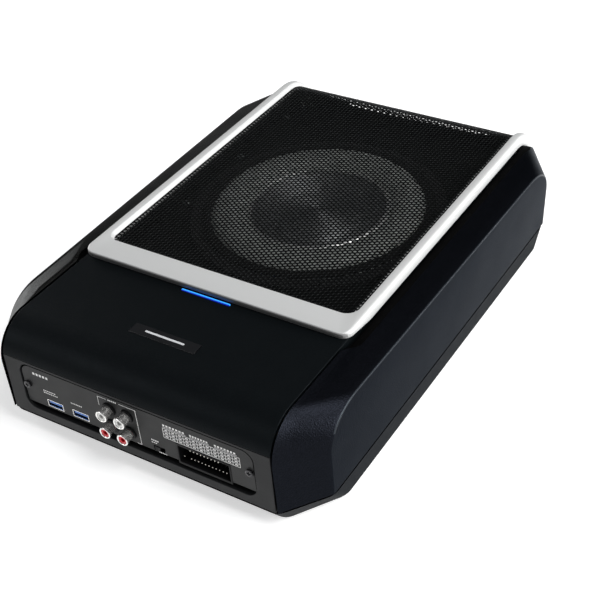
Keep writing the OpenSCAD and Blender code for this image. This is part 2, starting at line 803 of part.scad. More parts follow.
module switch_body() {
    color([0.04, 0.04, 0.04]) place() difference() {
        block(switch_x - 6, switch_x + 6, plate_y + plate_t + 0.05, 11, switch_z - 2.2, switch_z + 4.8);
        // the knob's slot, as long as its travel asks for
        block(switch_x - 3.6, switch_x + switch_travel + 0.6, 0, 7.3, switch_z - 0.6, switch_z + 3.1);
    }
    color([0.04, 0.04, 0.04]) place() block(switch_x - 3, switch_x + 3, 8, 16, deck_z, switch_z - 2.2);
}

module switch_knob() {
    x0 = switch_x - 3.4;
    color([0.1, 0.1, 0.1]) place() union() {
        block(x0, x0 + 3.4, 1.2, 6.9, switch_z - 0.35, switch_z + 2.85);
        for (i = [0:2]) block(x0 + 0.5 + i * 1, x0 + 0.9 + i * 1, 0.7, 1.3, switch_z - 0.35, switch_z + 2.85);
    }
}

base_tray();
rubber_feet();
tray_screws();
front_bezel();
connector_plate();
plate_screws();
rear_panel();
top_shell();
side_cap_left();
side_cap_right();
trim_frame();
grille();
light_bar();
light_board();
name_badge();
inner_baffle();
baffle_screws();
woofer_basket();
woofer_gasket();
woofer_screws();
surround();
cone();
dust_cap();
coil_former();
coil_winding();
spider();
top_plate();
magnet();
yoke();
woofer_terminals();
speaker_leads();
amp_board();
board_pillars();
board_screws();
capacitors();
choke_cores();
choke_windings();
board_chips();
heat_bar();
output_transistors();
transistor_clamp();
usb_shells();
usb_tongues();
usb_risers();
jack_block();
jack_barrels();
jack_inserts_white();
jack_inserts_red();
jack_contacts();
power_socket();
power_contacts();
switch_body();
switch_knob();
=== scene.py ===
"""Looks of the powered car subwoofer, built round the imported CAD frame.

Places are in millimetres in the casing's own frame: x across, y back from the front face, and z up
from the line where the tray meets the casing. at() turns them into the row frame's metres.
"""

import json
import math

import bmesh
import bpy
from mathutils import Matrix, Vector


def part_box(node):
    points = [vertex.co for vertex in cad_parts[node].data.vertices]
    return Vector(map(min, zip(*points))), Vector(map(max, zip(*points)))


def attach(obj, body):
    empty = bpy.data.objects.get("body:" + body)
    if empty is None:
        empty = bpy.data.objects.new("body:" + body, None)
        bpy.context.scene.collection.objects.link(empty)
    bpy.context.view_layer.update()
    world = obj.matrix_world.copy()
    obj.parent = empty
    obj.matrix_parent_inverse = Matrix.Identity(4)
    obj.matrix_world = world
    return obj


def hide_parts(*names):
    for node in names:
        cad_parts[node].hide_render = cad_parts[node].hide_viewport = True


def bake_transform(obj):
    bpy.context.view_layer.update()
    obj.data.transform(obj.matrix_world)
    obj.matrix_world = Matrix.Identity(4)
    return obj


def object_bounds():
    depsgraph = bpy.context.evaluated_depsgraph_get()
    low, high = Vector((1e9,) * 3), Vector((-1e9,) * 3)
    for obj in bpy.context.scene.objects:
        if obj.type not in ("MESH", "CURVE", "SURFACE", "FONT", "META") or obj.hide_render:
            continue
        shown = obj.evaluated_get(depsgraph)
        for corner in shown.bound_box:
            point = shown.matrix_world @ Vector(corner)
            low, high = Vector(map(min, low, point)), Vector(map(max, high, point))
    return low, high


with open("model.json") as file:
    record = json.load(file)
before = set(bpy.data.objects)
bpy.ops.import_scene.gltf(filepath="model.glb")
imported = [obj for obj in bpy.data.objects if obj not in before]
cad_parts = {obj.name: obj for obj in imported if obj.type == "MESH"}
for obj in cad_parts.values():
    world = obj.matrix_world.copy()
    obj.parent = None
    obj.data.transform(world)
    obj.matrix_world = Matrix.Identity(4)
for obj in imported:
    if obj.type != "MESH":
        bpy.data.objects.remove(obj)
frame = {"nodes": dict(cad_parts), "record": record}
cad_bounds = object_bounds()

MM = 0.001
MERGE = 1e-7  # vertices closer than this many metres are one

# ---- Sizes taken from the frame ----
cap_low, cap_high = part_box("side_cap_right")
FACE_Y = cap_low.y
LINE_Z = cap_low.z


def at(x, y, z):
    """A point of the casing's frame in metres of the row frame."""
    return Vector((x * MM, FACE_Y + y * MM, LINE_Z + z * MM))


def casing_box(node):
    """A node's box as (low, high) in the casing's millimetres."""
    low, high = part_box(node)
    shift = Vector((0, FACE_Y, LINE_Z))
    return (low - shift) / MM, (high - shift) / MM


REAR_FLARE = 3.4  # outward lean of the crease at its rear corner
FRONT_FLARE = 0.6  # and at its front corner
SIDE = cap_high.x / MM - REAR_FLARE  # half width at the base
CENTRE = cap_low.x / MM  # half width of the centre section
DEPTH = (cap_high.y - cap_low.y) / MM
SHELL_TOP = (cap_high.z - cap_low.z) / MM
TRAY_LOW = casing_box("base_tray")[0].z
TRIM_LOW, TRIM_HIGH = casing_box("trim_frame")
GRILLE_LOW, GRILLE_HIGH = casing_box("grille")
TRIM_HALF = TRIM_HIGH.x
TRIM_TOP = TRIM_HIGH.z
TRIM_FRONT = TRIM_LOW.y
PLATE_LOW, PLATE_HIGH = casing_box("connector_plate")

# Shape of the casing, as in the CAD
SHELL_R = 27.0
CORNER_D = 29.0
CREASE_TOP = 57.0
CREASE_RY, CREASE_RZ = 33.0, 25.0
FACE_TOP = 45.0
FACE_LEAN = 1.1
WALL = 2.5
CAP_WALL = 4.5
SEAM = 0.8  # half of the gap between the casing and a side cap
ARCH_LOW = 38.0  # where the trim and grille end at the rear
TRIM_ARCH_R = TRIM_TOP - ARCH_LOW
ARCH_Y = TRIM_HIGH.y - TRIM_ARCH_R
CHANNEL_DEPTH = 5.0
CHANNEL_W = 7.5
DRIVER = Vector((0, 223.0))
FACE_OPENING = (-90, 90, 6.5, 42.7)  # left, right, low, high
FACE_OPENING_R = 8
PLATE_GAP = 0.6  # added to the gap round the connector plate
PLATE_SCREW_X, PLATE_SCREW_Z = 86, 25.4
USB_HALF_W = 6.55
JACK_R = 4.15


# ---- Mesh helpers ----
def add_object(name, data):
    obj = bpy.data.objects.new(name, data)
    bpy.context.scene.collection.objects.link(obj)
    return obj


def raw_object(name, bm):
    """An object from a bmesh as it stands."""
    mesh = bpy.data.meshes.new(name)
    bm.to_mesh(mesh)
    bm.free()
    return add_object(name, mesh)


def object_from(name, bm):
    """An object from a bmesh, with its vertices merged and its faces turned outwards."""
    bmesh.ops.remove_doubles(bm, verts=bm.verts, dist=MERGE)
    bmesh.ops.recalc_face_normals(bm, faces=bm.faces)
    return raw_object(name, bm)


def apply_modifiers(obj):
    graph = bpy.context.evaluated_depsgraph_get()
    mesh = bpy.data.meshes.new_from_object(obj.evaluated_get(graph))
    obj.modifiers.clear()
    obj.data = mesh
    return obj


def shade(obj, angle=32):
    """Smooth shading that keeps edges sharper than angle."""
    for face in obj.data.polygons:
        face.use_smooth = True
    obj.data.set_sharp_from_angle(angle=math.radians(angle))
    return obj


def round_edges(obj, width, segments=2, angle=32):
    """Rounds every edge that turns by more than angle."""
    for face in obj.data.polygons:
        face.use_smooth = True
    bevel = obj.modifiers.new("round", "BEVEL")
    bevel.width = width * MM
    bevel.segments = segments
    bevel.limit_method = "ANGLE"
    bevel.angle_limit = math.radians(angle)
    bevel.harden_normals = True
    bevel.use_clamp_overlap = True
    return apply_modifiers(obj)


def cut(obj, *cutters):
    """Takes each cutter away from obj, and removes it."""
    for cutter in cutters:
        boolean = obj.modifiers.new("cut", "BOOLEAN")
        boolean.operation = "DIFFERENCE"
        boolean.solver = "EXACT"
        boolean.object = cutter
        boolean.material_mode = "TRANSFER" if cutter.data.materials else "INDEX"
        apply_modifiers(obj)
        bpy.data.objects.remove(cutter)
    return obj


def join(name, objects):
    """One object from several."""
    bm = bmesh.new()
    for obj in objects:
        bm.from_mesh(obj.data)
        bpy.data.objects.remove(obj)
    return raw_object(name, bm)


def loft(bm, rows, closed=True, capped=True):
    """Skin over rows of points, each row a closed or open line. Closed rows can have capped ends."""
    rings = [[bm.verts.new(p) for p in row] for row in rows]
    count = len(rows[0])
    for a, b in zip(rings, rings[1:]):
        for i in range(count if closed else count - 1):
            j = (i + 1) % count
            bm.faces.new((a[i], a[j], b[j], b[i]))
    if capped and closed:
        bm.faces.new(rings[0])
        bm.faces.new(rings[-1])
    return rings


def prism(name, outline, axis, low, high):
    """A flat outline stood up along an axis: (y, z) along x, (x, z) along y, or (x, y) along z."""
    place = {"x": lambda p, t: at(t, p[0], p[1]), "y": lambda p, t: at(p[0], t, p[1]),
             "z": lambda p, t: at(p[0], p[1], t)}[axis]
    bm = bmesh.new()
    loft(bm, [[place(p, t) for p in outline] for t in (low, high)])
    return object_from(name, bm)


def block(name, x0, x1, y0, y1, z0, z1):
    return prism(name, [(x0, y0), (x1, y0), (x1, y1), (x0, y1)], "z", z0, z1)


def box(low, high):
    return block("box", low.x, high.x, low.y, high.y, low.z, high.z)


def arc(cx, cy, rx, ry, start, end, steps):
    """Points of an elliptical arc, angles in degrees."""
    angles = [math.radians(start + (end - start) * i / steps) for i in range(steps + 1)]
    return [(cx + rx * math.cos(a), cy + ry * math.sin(a)) for a in angles]


def rounded_rectangle(x0, x1, y0, y1, r, steps=8):
    centres = [(x1 - r, y1 - r), (x0 + r, y1 - r), (x0 + r, y0 + r), (x1 - r, y0 + r)]
    return [p for i, (cx, cy) in enumerate(centres) for p in arc(cx, cy, r, r, 90 * i, 90 * i + 90, steps)]


def lathe(name, profile, centre, axis="z", steps=96, closed=True):
    """Turns a profile of (radius, height) round an axis through centre (x, y) or, along y, (x, z)."""
    bm = bmesh.new()
    rows = []
    for i in range(steps):
        c, s = math.cos(2 * math.pi * i / steps), math.sin(2 * math.pi * i / steps)
        turned = [(centre[0] + r * c, centre[1] + r * s, h) for r, h in profile]
        rows.append([at(u, v, h) if axis == "z" else at(u, h, v) for u, v, h in turned])
    rings = loft(bm, rows, closed=closed, capped=False)
    count = len(profile)
    for i in range(count if closed else count - 1):
        j = (i + 1) % count
        bm.faces.new((rings[-1][i], rings[-1][j], rings[0][j], rings[0][i]))
    bmesh.ops.remove_doubles(bm, verts=bm.verts, dist=MERGE)
    bmesh.ops.dissolve_degenerate(bm, edges=bm.edges, dist=MERGE)
    return object_from(name, bm)


def plug(centre, r, low, high, axis="z", steps=40):
    """A round cutter."""
    profile = [(0, low), (r, low), (r, high), (0, high)]
    return lathe("plug", profile, centre, axis, steps, closed=False)


def softened(node, width):
    """A copy of a CAD node with its faces merged and its edges rounded."""
    bm = bmesh.new()
    bm.from_mesh(frame["nodes"][node].data)
    bmesh.ops.remove_doubles(bm, verts=bm.verts, dist=2e-6)
    bmesh.ops.dissolve_limit(bm, angle_limit=math.radians(0.6), verts=bm.verts, edges=bm.edges)
    return round_edges(raw_object(node + "_soft", bm), width)


# ---- Materials ----
def shader_of(mat):
    return next(node for node in mat.node_tree.nodes if node.type == "BSDF_PRINCIPLED")


def put(node, values):
    """Sets inputs of a node by name."""
    for name, value in values.items():
        node.inputs[name].default_value = value


def object_axes(mat):
    """The X, Y and Z of a piece's own coordinates."""
    nodes = mat.node_tree.nodes
    coords = nodes.new("ShaderNodeTexCoord")
    split = nodes.new("ShaderNodeSeparateXYZ")
    mat.node_tree.links.new(coords.outputs["Object"], split.inputs["Vector"])
    return split.outputs


def remap(mat, source, start, end, low=0.0, high=1.0):
    """Runs from low to high while source runs from start to end."""
    node = mat.node_tree.nodes.new("ShaderNodeMapRange")
    put(node, {"From Min": start, "From Max": end, "To Min": low, "To Max": high})
    mat.node_tree.links.new(source, node.inputs["Value"])
    return node.outputs["Result"]


def color_ramp(mat, source, *stops):
    """The colour between stops of (position, colour); the first two are the outermost."""
    node = mat.node_tree.nodes.new("ShaderNodeValToRGB")
    elements = node.color_ramp.elements
    for i, (position, color) in enumerate(stops):
        element = elements[i] if i < 2 else elements.new(position)
        element.position = position
        element.color = (*color, 1)
    mat.node_tree.links.new(source, node.inputs["Fac"])
    return node.outputs["Color"]


def material(name, color, roughness, metallic=0.0, specular=0.5, coat=0.0, grain=0.3, bump=0.1,
             mottle=0.12, spread=0.06, stretch=(1, 1, 1), patch=12.0, turned=0.0, tint=(1, 1, 1)):
    """A moulded, painted or metal surface: fine grain as bump, patchy roughness, slight colour drift.

    grain is the size of the surface's grain in mm, bump its strength, mottle the share by which the
    colour drifts, spread how far the roughness drifts, and patch the size of those drifts in mm.
    turned is the share of the gloss that is drawn out across fine rings round the piece's own upright
    axis, and tint colours the gloss."""
    mat = bpy.data.materials.new(name)
    mat.use_nodes = True
    nodes, links = mat.node_tree.nodes, mat.node_tree.links
    nodes.clear()
    out = nodes.new("ShaderNodeOutputMaterial")
    shader = nodes.new("ShaderNodeBsdfPrincipled")
    links.new(shader.outputs["BSDF"], out.inputs["Surface"])
    put(shader, {"Metallic": metallic, "Specular IOR Level": specular, "Specular Tint": (*tint, 1),
                 "Coat Weight": coat, "Coat Roughness": 0.08})
    if turned:
        put(shader, {"Anisotropic": turned, "Anisotropic Rotation": 0.25})
        rings = nodes.new("ShaderNodeTangent")
        rings.direction_type = "RADIAL"
        rings.axis = "Z"
        links.new(rings.outputs["Tangent"], shader.inputs["Tangent"])
    coords = nodes.new("ShaderNodeTexCoord")
    mapping = nodes.new("ShaderNodeMapping")
    put(mapping, {"Scale": stretch})
    links.new(coords.outputs["Object"], mapping.inputs["Vector"])

    def noise(size, detail):
        node = nodes.new("ShaderNodeTexNoise")
        put(node, {"Scale": 1 / (size * MM), "Detail": detail})
        links.new(mapping.outputs["Vector"], node.inputs["Vector"])
        return node

    low, high = 0.3, 0.7  # the range that the noise mostly keeps to
    patches = noise(patch, 3)
    drift = remap(mat, patches.outputs["Fac"], low, high, max(roughness - spread, 0.02),
                  min(roughness + spread, 1.0))
    links.new(drift, shader.inputs["Roughness"])
    fine = noise(grain, 2)
    darker = [c * (1 - mottle) for c in color]
    lighter = [min(c * (1 + mottle), 1) for c in color]
    mottled = color_ramp(mat, fine.outputs["Fac"], (low, darker), (high, lighter))
    links.new(mottled, shader.inputs["Base Color"])
    relief = nodes.new("ShaderNodeBump")
    put(relief, {"Strength": bump, "Distance": grain * 0.25 * MM})
    links.new(fine.outputs["Fac"], relief.inputs["Height"])
    links.new(relief.outputs["Normal"], shader.inputs["Normal"])
    return mat


def lit_bar(name, centre_y, half_width):
    """A light guide lit from below: bright along its middle, deep blue at its long edges."""
    edge, middle = (0.0, 0.008, 0.26), (0.04, 0.46, 1.0)
    mat = material(name, (0.005, 0.03, 0.25), 0.3, grain=0.6, bump=0.05)
    across = remap(mat, object_axes(mat)["Y"], centre_y - half_width, centre_y + half_width)
    shader = shader_of(mat)
    glow = color_ramp(mat, across, (0.12, edge), (0.88, edge), (0.5, middle))
    mat.node_tree.links.new(glow, shader.inputs["Emission Color"])
    put(shader, {"Emission Strength": 1.6})
    return mat


def paint_gloss_highlight(mat, dull, bright):
    """Paints a highlight on the left cap's upper facet: leaves its gloss bright only in a band along its
    front curve.

    The band's inner edge parts from the seam, and ends it in a scoop beside the trim."""
    axes = object_axes(mat)

    def combine(operation, first, second):
        node = mat.node_tree.nodes.new("ShaderNodeMath")
        node.operation = operation
        mat.node_tree.links.new(first, node.inputs[0])
        mat.node_tree.links.new(second, node.inputs[1])
        return node.outputs["Value"]

    def along(y0, y1, low, high):
        """Runs from low to high between two depths from the front face."""
        return remap(mat, axes["Y"], FACE_Y + y0 * MM, FACE_Y + y1 * MM, low, high)

    reach = 40  # mm outwards from the seam
    across = remap(mat, axes["X"], -CENTRE * MM, -(CENTRE + reach) * MM, 0, reach)
    inner_edge = combine("ADD", along(27, 50, 0, 7), along(82, 120, 0, 16))
    inside = combine("SUBTRACT", across, inner_edge)
    outline = remap(mat, across, 18.2, 19.2, 1, 0)
    band = combine("MULTIPLY", remap(mat, inside, -0.8, 0.8), outline)
    band = combine("MULTIPLY", band, along(50, 115, 1, 0.3))
    level = combine("MAXIMUM", band, along(80, 250, 0, 0.42))
    tint = color_ramp(mat, level, (0, dull), (1, bright))
    mat.node_tree.links.new(tint, shader_of(mat).inputs["Specular Tint"])
    return mat


LIGHT_LOW, LIGHT_HIGH = casing_box("light_bar")
LIGHT_LOW += Vector((0.3, 0.35, 0))  # the lit lens is a little smaller than its housing
LIGHT_HIGH -= Vector((2.6, 0.35, 0))
MATERIALS = {
    "shell": material("shell_black", (0.0030, 0.0040, 0.0047), 0.42, specular=0.085, grain=0.8,
                      bump=0.5, spread=0.03, tint=(0.8, 0.92, 1.0)),
    "cap": material("cap_black", (0.0075, 0.0084, 0.0112), 0.36, metallic=1.0, grain=0.9, bump=0.8,
                    mottle=0.25, spread=0.03, patch=30.0, tint=(0.555, 0.57, 0.59)),
    # the left cap: a copy of the cap's plastic with a painted highlight in its gloss
    "cap_left": paint_gloss_highlight(material("cap_black_left_painted_highlight", (0.0075, 0.0078, 0.0080), 0.36, metallic=1.0,
                                    grain=0.9, bump=0.8, mottle=0.25, spread=0.03, patch=30.0),
                           (0.43, 0.43, 0.428), (0.78, 0.785, 0.785)),
    # painted highlight: a glossier copy of the cap's plastic for the top of the right crease
    "cap_edge": material("cap_edge_painted_highlight", (0.009, 0.011, 0.014), 0.32, specular=0.2, grain=0.6,
                         bump=0.1, spread=0.03, patch=30.0, tint=(0.75, 0.88, 1.0)),
    "tray": material("tray_grey", (0.0068, 0.0080, 0.0098), 0.5, specular=0.03, grain=0.7, bump=0.4,
                     spread=0.03),
    "bezel": material("bezel_grey", (0.0095, 0.0102, 0.0110), 0.5, specular=0.2, grain=0.6, bump=0.4,
                      spread=0.03),
    "plate": material("plate_black", (0.0100, 0.0103, 0.0105), 0.5, specular=0.28, grain=0.5,
                      bump=0.2, spread=0.03),
    "trim": material("trim_silver", (0.585, 0.59, 0.585), 0.45, metallic=0.1, grain=0.25, bump=0.06,
                     mottle=0.03, spread=0.03),
    # painted shade for the front bar's wall and its turn, darker copies of the trim
    "trim_turn_painted_shade": material("trim_turn_painted_shade", (0.3, 0.3, 0.3), 0.35, specular=0.4, grain=0.25, bump=0.06),
    "trim_wall": material("trim_wall_painted_shade", (0.14, 0.14, 0.14), 0.3, specular=0.3, grain=0.25,
                          bump=0.06),
    "grille": material("grille_black", (0.0014, 0.0016, 0.0017), 0.5, specular=0.08),
    # painted highlight: the grille's hole walls, lighter than its sheet
    "grille_edge": material("grille_hole_walls_painted_highlight", (0.033, 0.036, 0.036), 0.35, specular=0.3, bump=0.05),
    "surround": material("surround_rubber", (0.44, 0.46, 0.44), 0.42, grain=0.6, bump=0.12),
    "cone": material("cone_spun", (0.47, 0.48, 0.485), 0.6, metallic=1.0, grain=0.8, bump=0.03,
                     mottle=0.05, turned=0.62),
    "cone_rim": material("cone_rim_polished", (0.95, 0.95, 0.94), 0.46, metallic=1.0, grain=0.5,
                         bump=0.01, mottle=0.03),
    # painted shade: near-black for channels, gaps, hollows and the left crease's outline, where shade
    # falls
    "recess": material("recess_painted_shade", (0.0012, 0.0012, 0.0013), 0.7, specular=0.03, grain=0.4,
                       bump=0.2),
    "inner": material("inner_black", (0.005, 0.0055, 0.0055), 0.7, specular=0.1, grain=0.5, bump=0.3),
    "basket": material("basket_black", (0.02, 0.02, 0.021), 0.6, specular=0.3, grain=0.4, bump=0.3),
    "gasket": material("gasket_foam", (0.012, 0.012, 0.012), 0.9, specular=0.1, grain=0.5, bump=0.6),
    "light": lit_bar("light_blue", FACE_Y + (LIGHT_LOW.y + LIGHT_HIGH.y) / 2 * MM,
                     (LIGHT_HIGH.y - LIGHT_LOW.y) / 2 * MM),
    "badge": material("badge_gloss", (0.004, 0.0042, 0.005), 0.2, coat=0.3, grain=0.5, bump=0.03),
    "silver_mark": material("silver_mark", (0.75, 0.76, 0.78), 0.4, metallic=0.2, grain=0.2,
                            bump=0.05),
    "print": material("white_print", (0.85, 0.85, 0.84), 0.6, grain=0.15, bump=0.15, mottle=0.15),
    "screw": material("screw_black", (0.03, 0.03, 0.032), 0.25, metallic=0.6, grain=0.2),
    "steel": material("zinc_steel", (0.52, 0.53, 0.54), 0.34, metallic=1.0, grain=0.25, mottle=0.06),
    "nickel": material("nickel", (0.86, 0.85, 0.83), 0.2, metallic=0.9, grain=0.9, bump=0.001,
                       mottle=0.02, spread=0.02, patch=40.0),
    "tin": material("tinned_brass", (0.66, 0.64, 0.58), 0.3, metallic=1.0, grain=0.15, bump=0.03),
    "white": material("white_plastic", (0.75, 0.75, 0.73), 0.35, grain=0.25, bump=0.05, mottle=0.02),
    "red": material("red_plastic", (0.62, 0.008, 0.018), 0.35, grain=0.25, bump=0.05, mottle=0.05),
    "blue": material("blue_plastic", (0.03, 0.16, 0.55), 0.35, grain=0.25, bump=0.05, mottle=0.05),
    "socket": material("socket_black", (0.005, 0.005, 0.0055), 0.45, specular=0.16, grain=0.25,
                       bump=0.2),
    "rubber": material("foot_rubber", (0.015, 0.015, 0.015), 0.85, specular=0.2, grain=0.4, bump=0.5),
    "board": material("board_green", (0.012, 0.07, 0.03), 0.35, specular=0.4, grain=1.2, bump=0.08,
                      mottle=0.3),
    "chip": material("chip_black", (0.015, 0.015, 0.016), 0.5, grain=0.25, bump=0.2),
    "can": material("capacitor_sleeve", (0.012, 0.016, 0.05), 0.3, coat=0.2, grain=0.5, bump=0.05),
    "core": material("core_green", (0.03, 0.09, 0.05), 0.5, grain=0.5, bump=0.2),
    "copper": material("copper_wire", (0.72, 0.32, 0.16), 0.3, metallic=1.0, grain=0.35, bump=0.5,
                       stretch=(1, 1, 4)),
    "aluminium": material("bare_aluminium", (0.62, 0.62, 0.63), 0.38, metallic=1.0, bump=0.25,
                          stretch=(0.1, 1, 1)),
    "ferrite": material("magnet_ferrite", (0.03, 0.03, 0.033), 0.7, grain=0.5, bump=0.3),
    "former": material("former_amber", (0.42, 0.2, 0.05), 0.35, coat=0.3, grain=0.5, bump=0.05),
    "spider": material("spider_cloth", (0.45, 0.33, 0.12), 0.85, specular=0.2, grain=0.35, bump=0.8,
                       mottle=0.3),
    "wire": material("wire_red", (0.4, 0.02, 0.015), 0.45),
}


def slot_of(node):
    """The material slot that the record gives to a CAD node."""
    return next(s["material_slot"] for s in frame["record"]["subparts"] if s["node"] == node)


def dress(obj, name, look, node=None, body="housing", slot=None):
    """Names a finished piece, gives it its material and body, and hides the CAD node it stands for.

    look is None for a piece that already has its materials."""
    if node:
        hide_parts(node)
        slot = slot_of(node)
    obj.name = name
    obj.data.name = name
    if look:
        obj.data.materials.clear()
        obj.data.materials.append(MATERIALS[look])
    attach(obj, body)


# ---- Casing ----
RAIL_STEPS = 14  # points on each curve of the two rails


def casing_rail(inset):
    """Side outline of the casing from the front foot over the top to the rear foot."""
    r, z = SHELL_R - inset, SHELL_TOP - SHELL_R
    return ([(inset, 0)] + arc(SHELL_R, z, r, r, 180, 90, RAIL_STEPS)
            + arc(DEPTH - SHELL_R, z, r, r, 90, 0, RAIL_STEPS) + [(DEPTH - inset, 0)])


def crease_rail(inset):
    """Side outline of a side cap's outer crease, point for point with casing_rail."""
    ry, rz, z = CREASE_RY - inset, CREASE_RZ - inset, CREASE_TOP - CREASE_RZ
    y1, y2 = CORNER_D + CREASE_RY, DEPTH - CORNER_D - CREASE_RY
    return ([(y1 - ry, 0)] + arc(y1, z, ry, rz, 180, 90, RAIL_STEPS)
            + arc(y2, z, ry, rz, 90, 0, RAIL_STEPS) + [(y2 + ry, 0)])


def flare(y, z):
    """How far the side cap's outer face leans out at a height and depth."""
    front, rear = CORNER_D + CREASE_RY, DEPTH - CORNER_D - CREASE_RY
    t = min(max((y - front) / (rear - front), 0.0), 1.0)
    return (FRONT_FLARE + (REAR_FLARE - FRONT_FLARE) * t) * z / CREASE_TOP


def cap_rows(side, inset=0.0):
    """Rails of one side cap from the casing's outline out to the crease, all drawn in by an inset."""
    rings = 6
    rows = []
    for i in range(rings + 1):
        t = i / rings
        row = []
        for (y0, z0), (y1, z1) in zip(casing_rail(inset), crease_rail(inset)):
            x0, x1 = CENTRE, SIDE + flare(y1, z1) - inset * 0.6
            row.append(at(side * (x0 + (x1 - x0) * t), y0 + (y1 - y0) * t, z0 + (z1 - z0) * t))
        rows.append(row)
    return rows


def smoothstep(t):
    t = min(max(t, 0.0), 1.0)
    return t * t * (3 - 2 * t)


def channel_cutter(side):
    """The sunk channel beside the trim: it opens in a scoop by the trim's corner and runs down the
    rear, where it closes again."""
    start = TRIM_FRONT - 11
    rear_y, rear_z = DEPTH - SHELL_R, SHELL_TOP - SHELL_R  # centre of the casing's rear curve
    line = [(start + 1.5 * i, SHELL_TOP) for i in range(17)] + [(rear_y, SHELL_TOP)]
    line += arc(rear_y, rear_z, SHELL_R, SHELL_R, 84, 0, 14)
    narrow = 0.4
    rows = []
    for y, z in line:
        opened = smoothstep((y - start) / 17)
        depth = CHANNEL_DEPTH * smoothstep((y - start) / 15) + 0.02
        unclosed = smoothstep((z - ARCH_LOW + 2) / 14)
        width = narrow + (CHANNEL_W - narrow) * opened * unclosed
        out = Vector((y - min(y, rear_y), z - rear_z)).normalized()
        floor = Vector((y, z)) - out * depth * (0.25 + 0.75 * unclosed)
        high = Vector((y, z)) + out * 12
        rows.append([at(side * (CENTRE - 4), *floor), at(side * (CENTRE + width), *floor),
                     at(side * (CENTRE + width + 1.0), *high), at(side * (CENTRE - 4), *high)])
    bm = bmesh.new()
    loft(bm, rows)
    channel = object_from("channel", bm)
    # the channel's faces carry painted shade into the cap
    channel.data.materials.append(MATERIALS["recess"])
    return channel


def build_side_cap(side):
    """One side cap, with a rounded crease, hollow below, and the channel beside the trim cut in."""
    rows = cap_rows(side)
    seam = [Vector((side * (CENTRE + SEAM) * MM, p.y, p.z)) for p in rows[0]]
    bm = bmesh.new()
    loft(bm, [seam] + rows[1:])
    bmesh.ops.recalc_face_normals(bm, faces=bm.faces)
    bmesh.ops.dissolve_limit(bm, angle_limit=math.radians(0.05), verts=bm.verts, edges=bm.edges)
    outer = (SIDE - 0.01) * MM
    crease = [e for e in bm.edges if all(abs(v.co.x) > outer for v in e.verts)
              and any(v.co.z > LINE_Z + 1e-6 for v in e.verts) and e.calc_face_angle(0) > 0.2]
    rounded = bmesh.ops.bevel(bm, geom=crease, offset=0.8 * MM, segments=4, profile=0.5,
                              affect="EDGES")
    edge_low = LINE_Z + (CREASE_TOP - 12) * MM
    for face in rounded["faces"]:  # the top of the crease: a painted highlight on the right cap, painted shade as a black outline on the left
        face.material_index = int(face.calc_center_median().z > edge_low)
    cap = object_from("cap", bm)
    cap.data.materials.append(MATERIALS["cap"])
    cap.data.materials.append(MATERIALS["cap_edge" if side > 0 else "recess"])
    bm = bmesh.new()
    hollow = cap_rows(side, inset=CAP_WALL)[3:]  # only its outer half
    down = Vector((0, 0, -2 * MM))
    loft(bm, [[p + down for p in row] for row in hollow])
    cut(cap, object_from("cavity", bm), channel_cutter(side))
    round_edges(cap, 0.45, 3, 24)
    if side < 0:  # the facet from the seam out to the crease, with the painted highlight
        facet = len(cap.data.materials)
        cap.data.materials.append(MATERIALS["cap_left"])
        for face in cap.data.polygons:
            if face.material_index == 0 and abs(face.normal.x) < 0.9:
                face.material_index = facet
    return cap


def build_top_shell():
    """The curved casing, with a window under the grille and slots for the light bar and badge."""
    z = SHELL_TOP - SHELL_R
    front = 180 - math.degrees(math.asin((FACE_TOP - z) / SHELL_R))
    tail = math.degrees(math.asin((ARCH_LOW - z) / SHELL_R))
    half, above, below = CENTRE - SEAM, 90, ARCH_LOW - 8

    def rail(r):
        return arc(SHELL_R, z, r, r, front, 90, 16) + arc(DEPTH - SHELL_R, z, r, r, 90, tail, 18)

    def pocket(low, high, z0):
        play = 0.15
        return block("pocket", low.x - play, high.x + play, low.y - play, high.y + play, z0, above)

    shell = prism("shell", rail(SHELL_R) + rail(SHELL_R - WALL)[::-1], "x", -half, half)
    badge_low, badge_high = casing_box("name_badge")
    cut(shell,
        block("window", -93, 93, GRILLE_LOW.y + 3, ARCH_Y, below, above),
        block("tail", GRILLE_LOW.x - 0.4, GRILLE_HIGH.x + 0.4, ARCH_Y - 1, DEPTH + 9, below, above),
        pocket(LIGHT_LOW, LIGHT_HIGH, 50),
        pocket(badge_low, badge_high, badge_low.z))
    # a skirt under each edge closes the casing off behind the channels
    skirts = [block("skirt", side * (half - 1.5), side * (half - 0.05), TRIM_FRONT - 14, ARCH_Y,
                    SHELL_TOP - 12, SHELL_TOP - WALL - 0.02) for side in (-1, 1)]
    return join("shell", [round_edges(shell, 0.4, 3, 28), *skirts])


def rounded_polygon(points, radius):
    """A polygon whose corners are curves that start and end radius away from the corner."""
    steps = 6
    ring = []
    for i, corner in enumerate(points):
        before, after = Vector(points[i - 1]), Vector(points[(i + 1) % len(points)])
        corner = Vector(corner)
        start = corner + (before - corner).normalized() * radius
        end = corner + (after - corner).normalized() * radius
        for k in range(steps + 1):
            t = k / steps
            ring.append(tuple(start * (1 - t) ** 2 + corner * 2 * t * (1 - t) + end * t ** 2))
    return ring


def tray_plan(inset, lean):
    """Plan of the tray with its cut corners, counter-clockwise from the front left."""
    x1 = CENTRE - lean / 8 - inset
    x2 = SIDE - inset
    y1 = lean + inset
    y2 = CORNER_D + lean * 1.5 + inset / 2
    y3, y4 = DEPTH - y2, DEPTH - y1
    corners = [(-x1, y1), (x1, y1), (x2, y2), (x2, y3), (x1, y4), (-x1, y4), (-x2, y3), (-x2, y2)]
    return rounded_polygon(corners, 5.0)


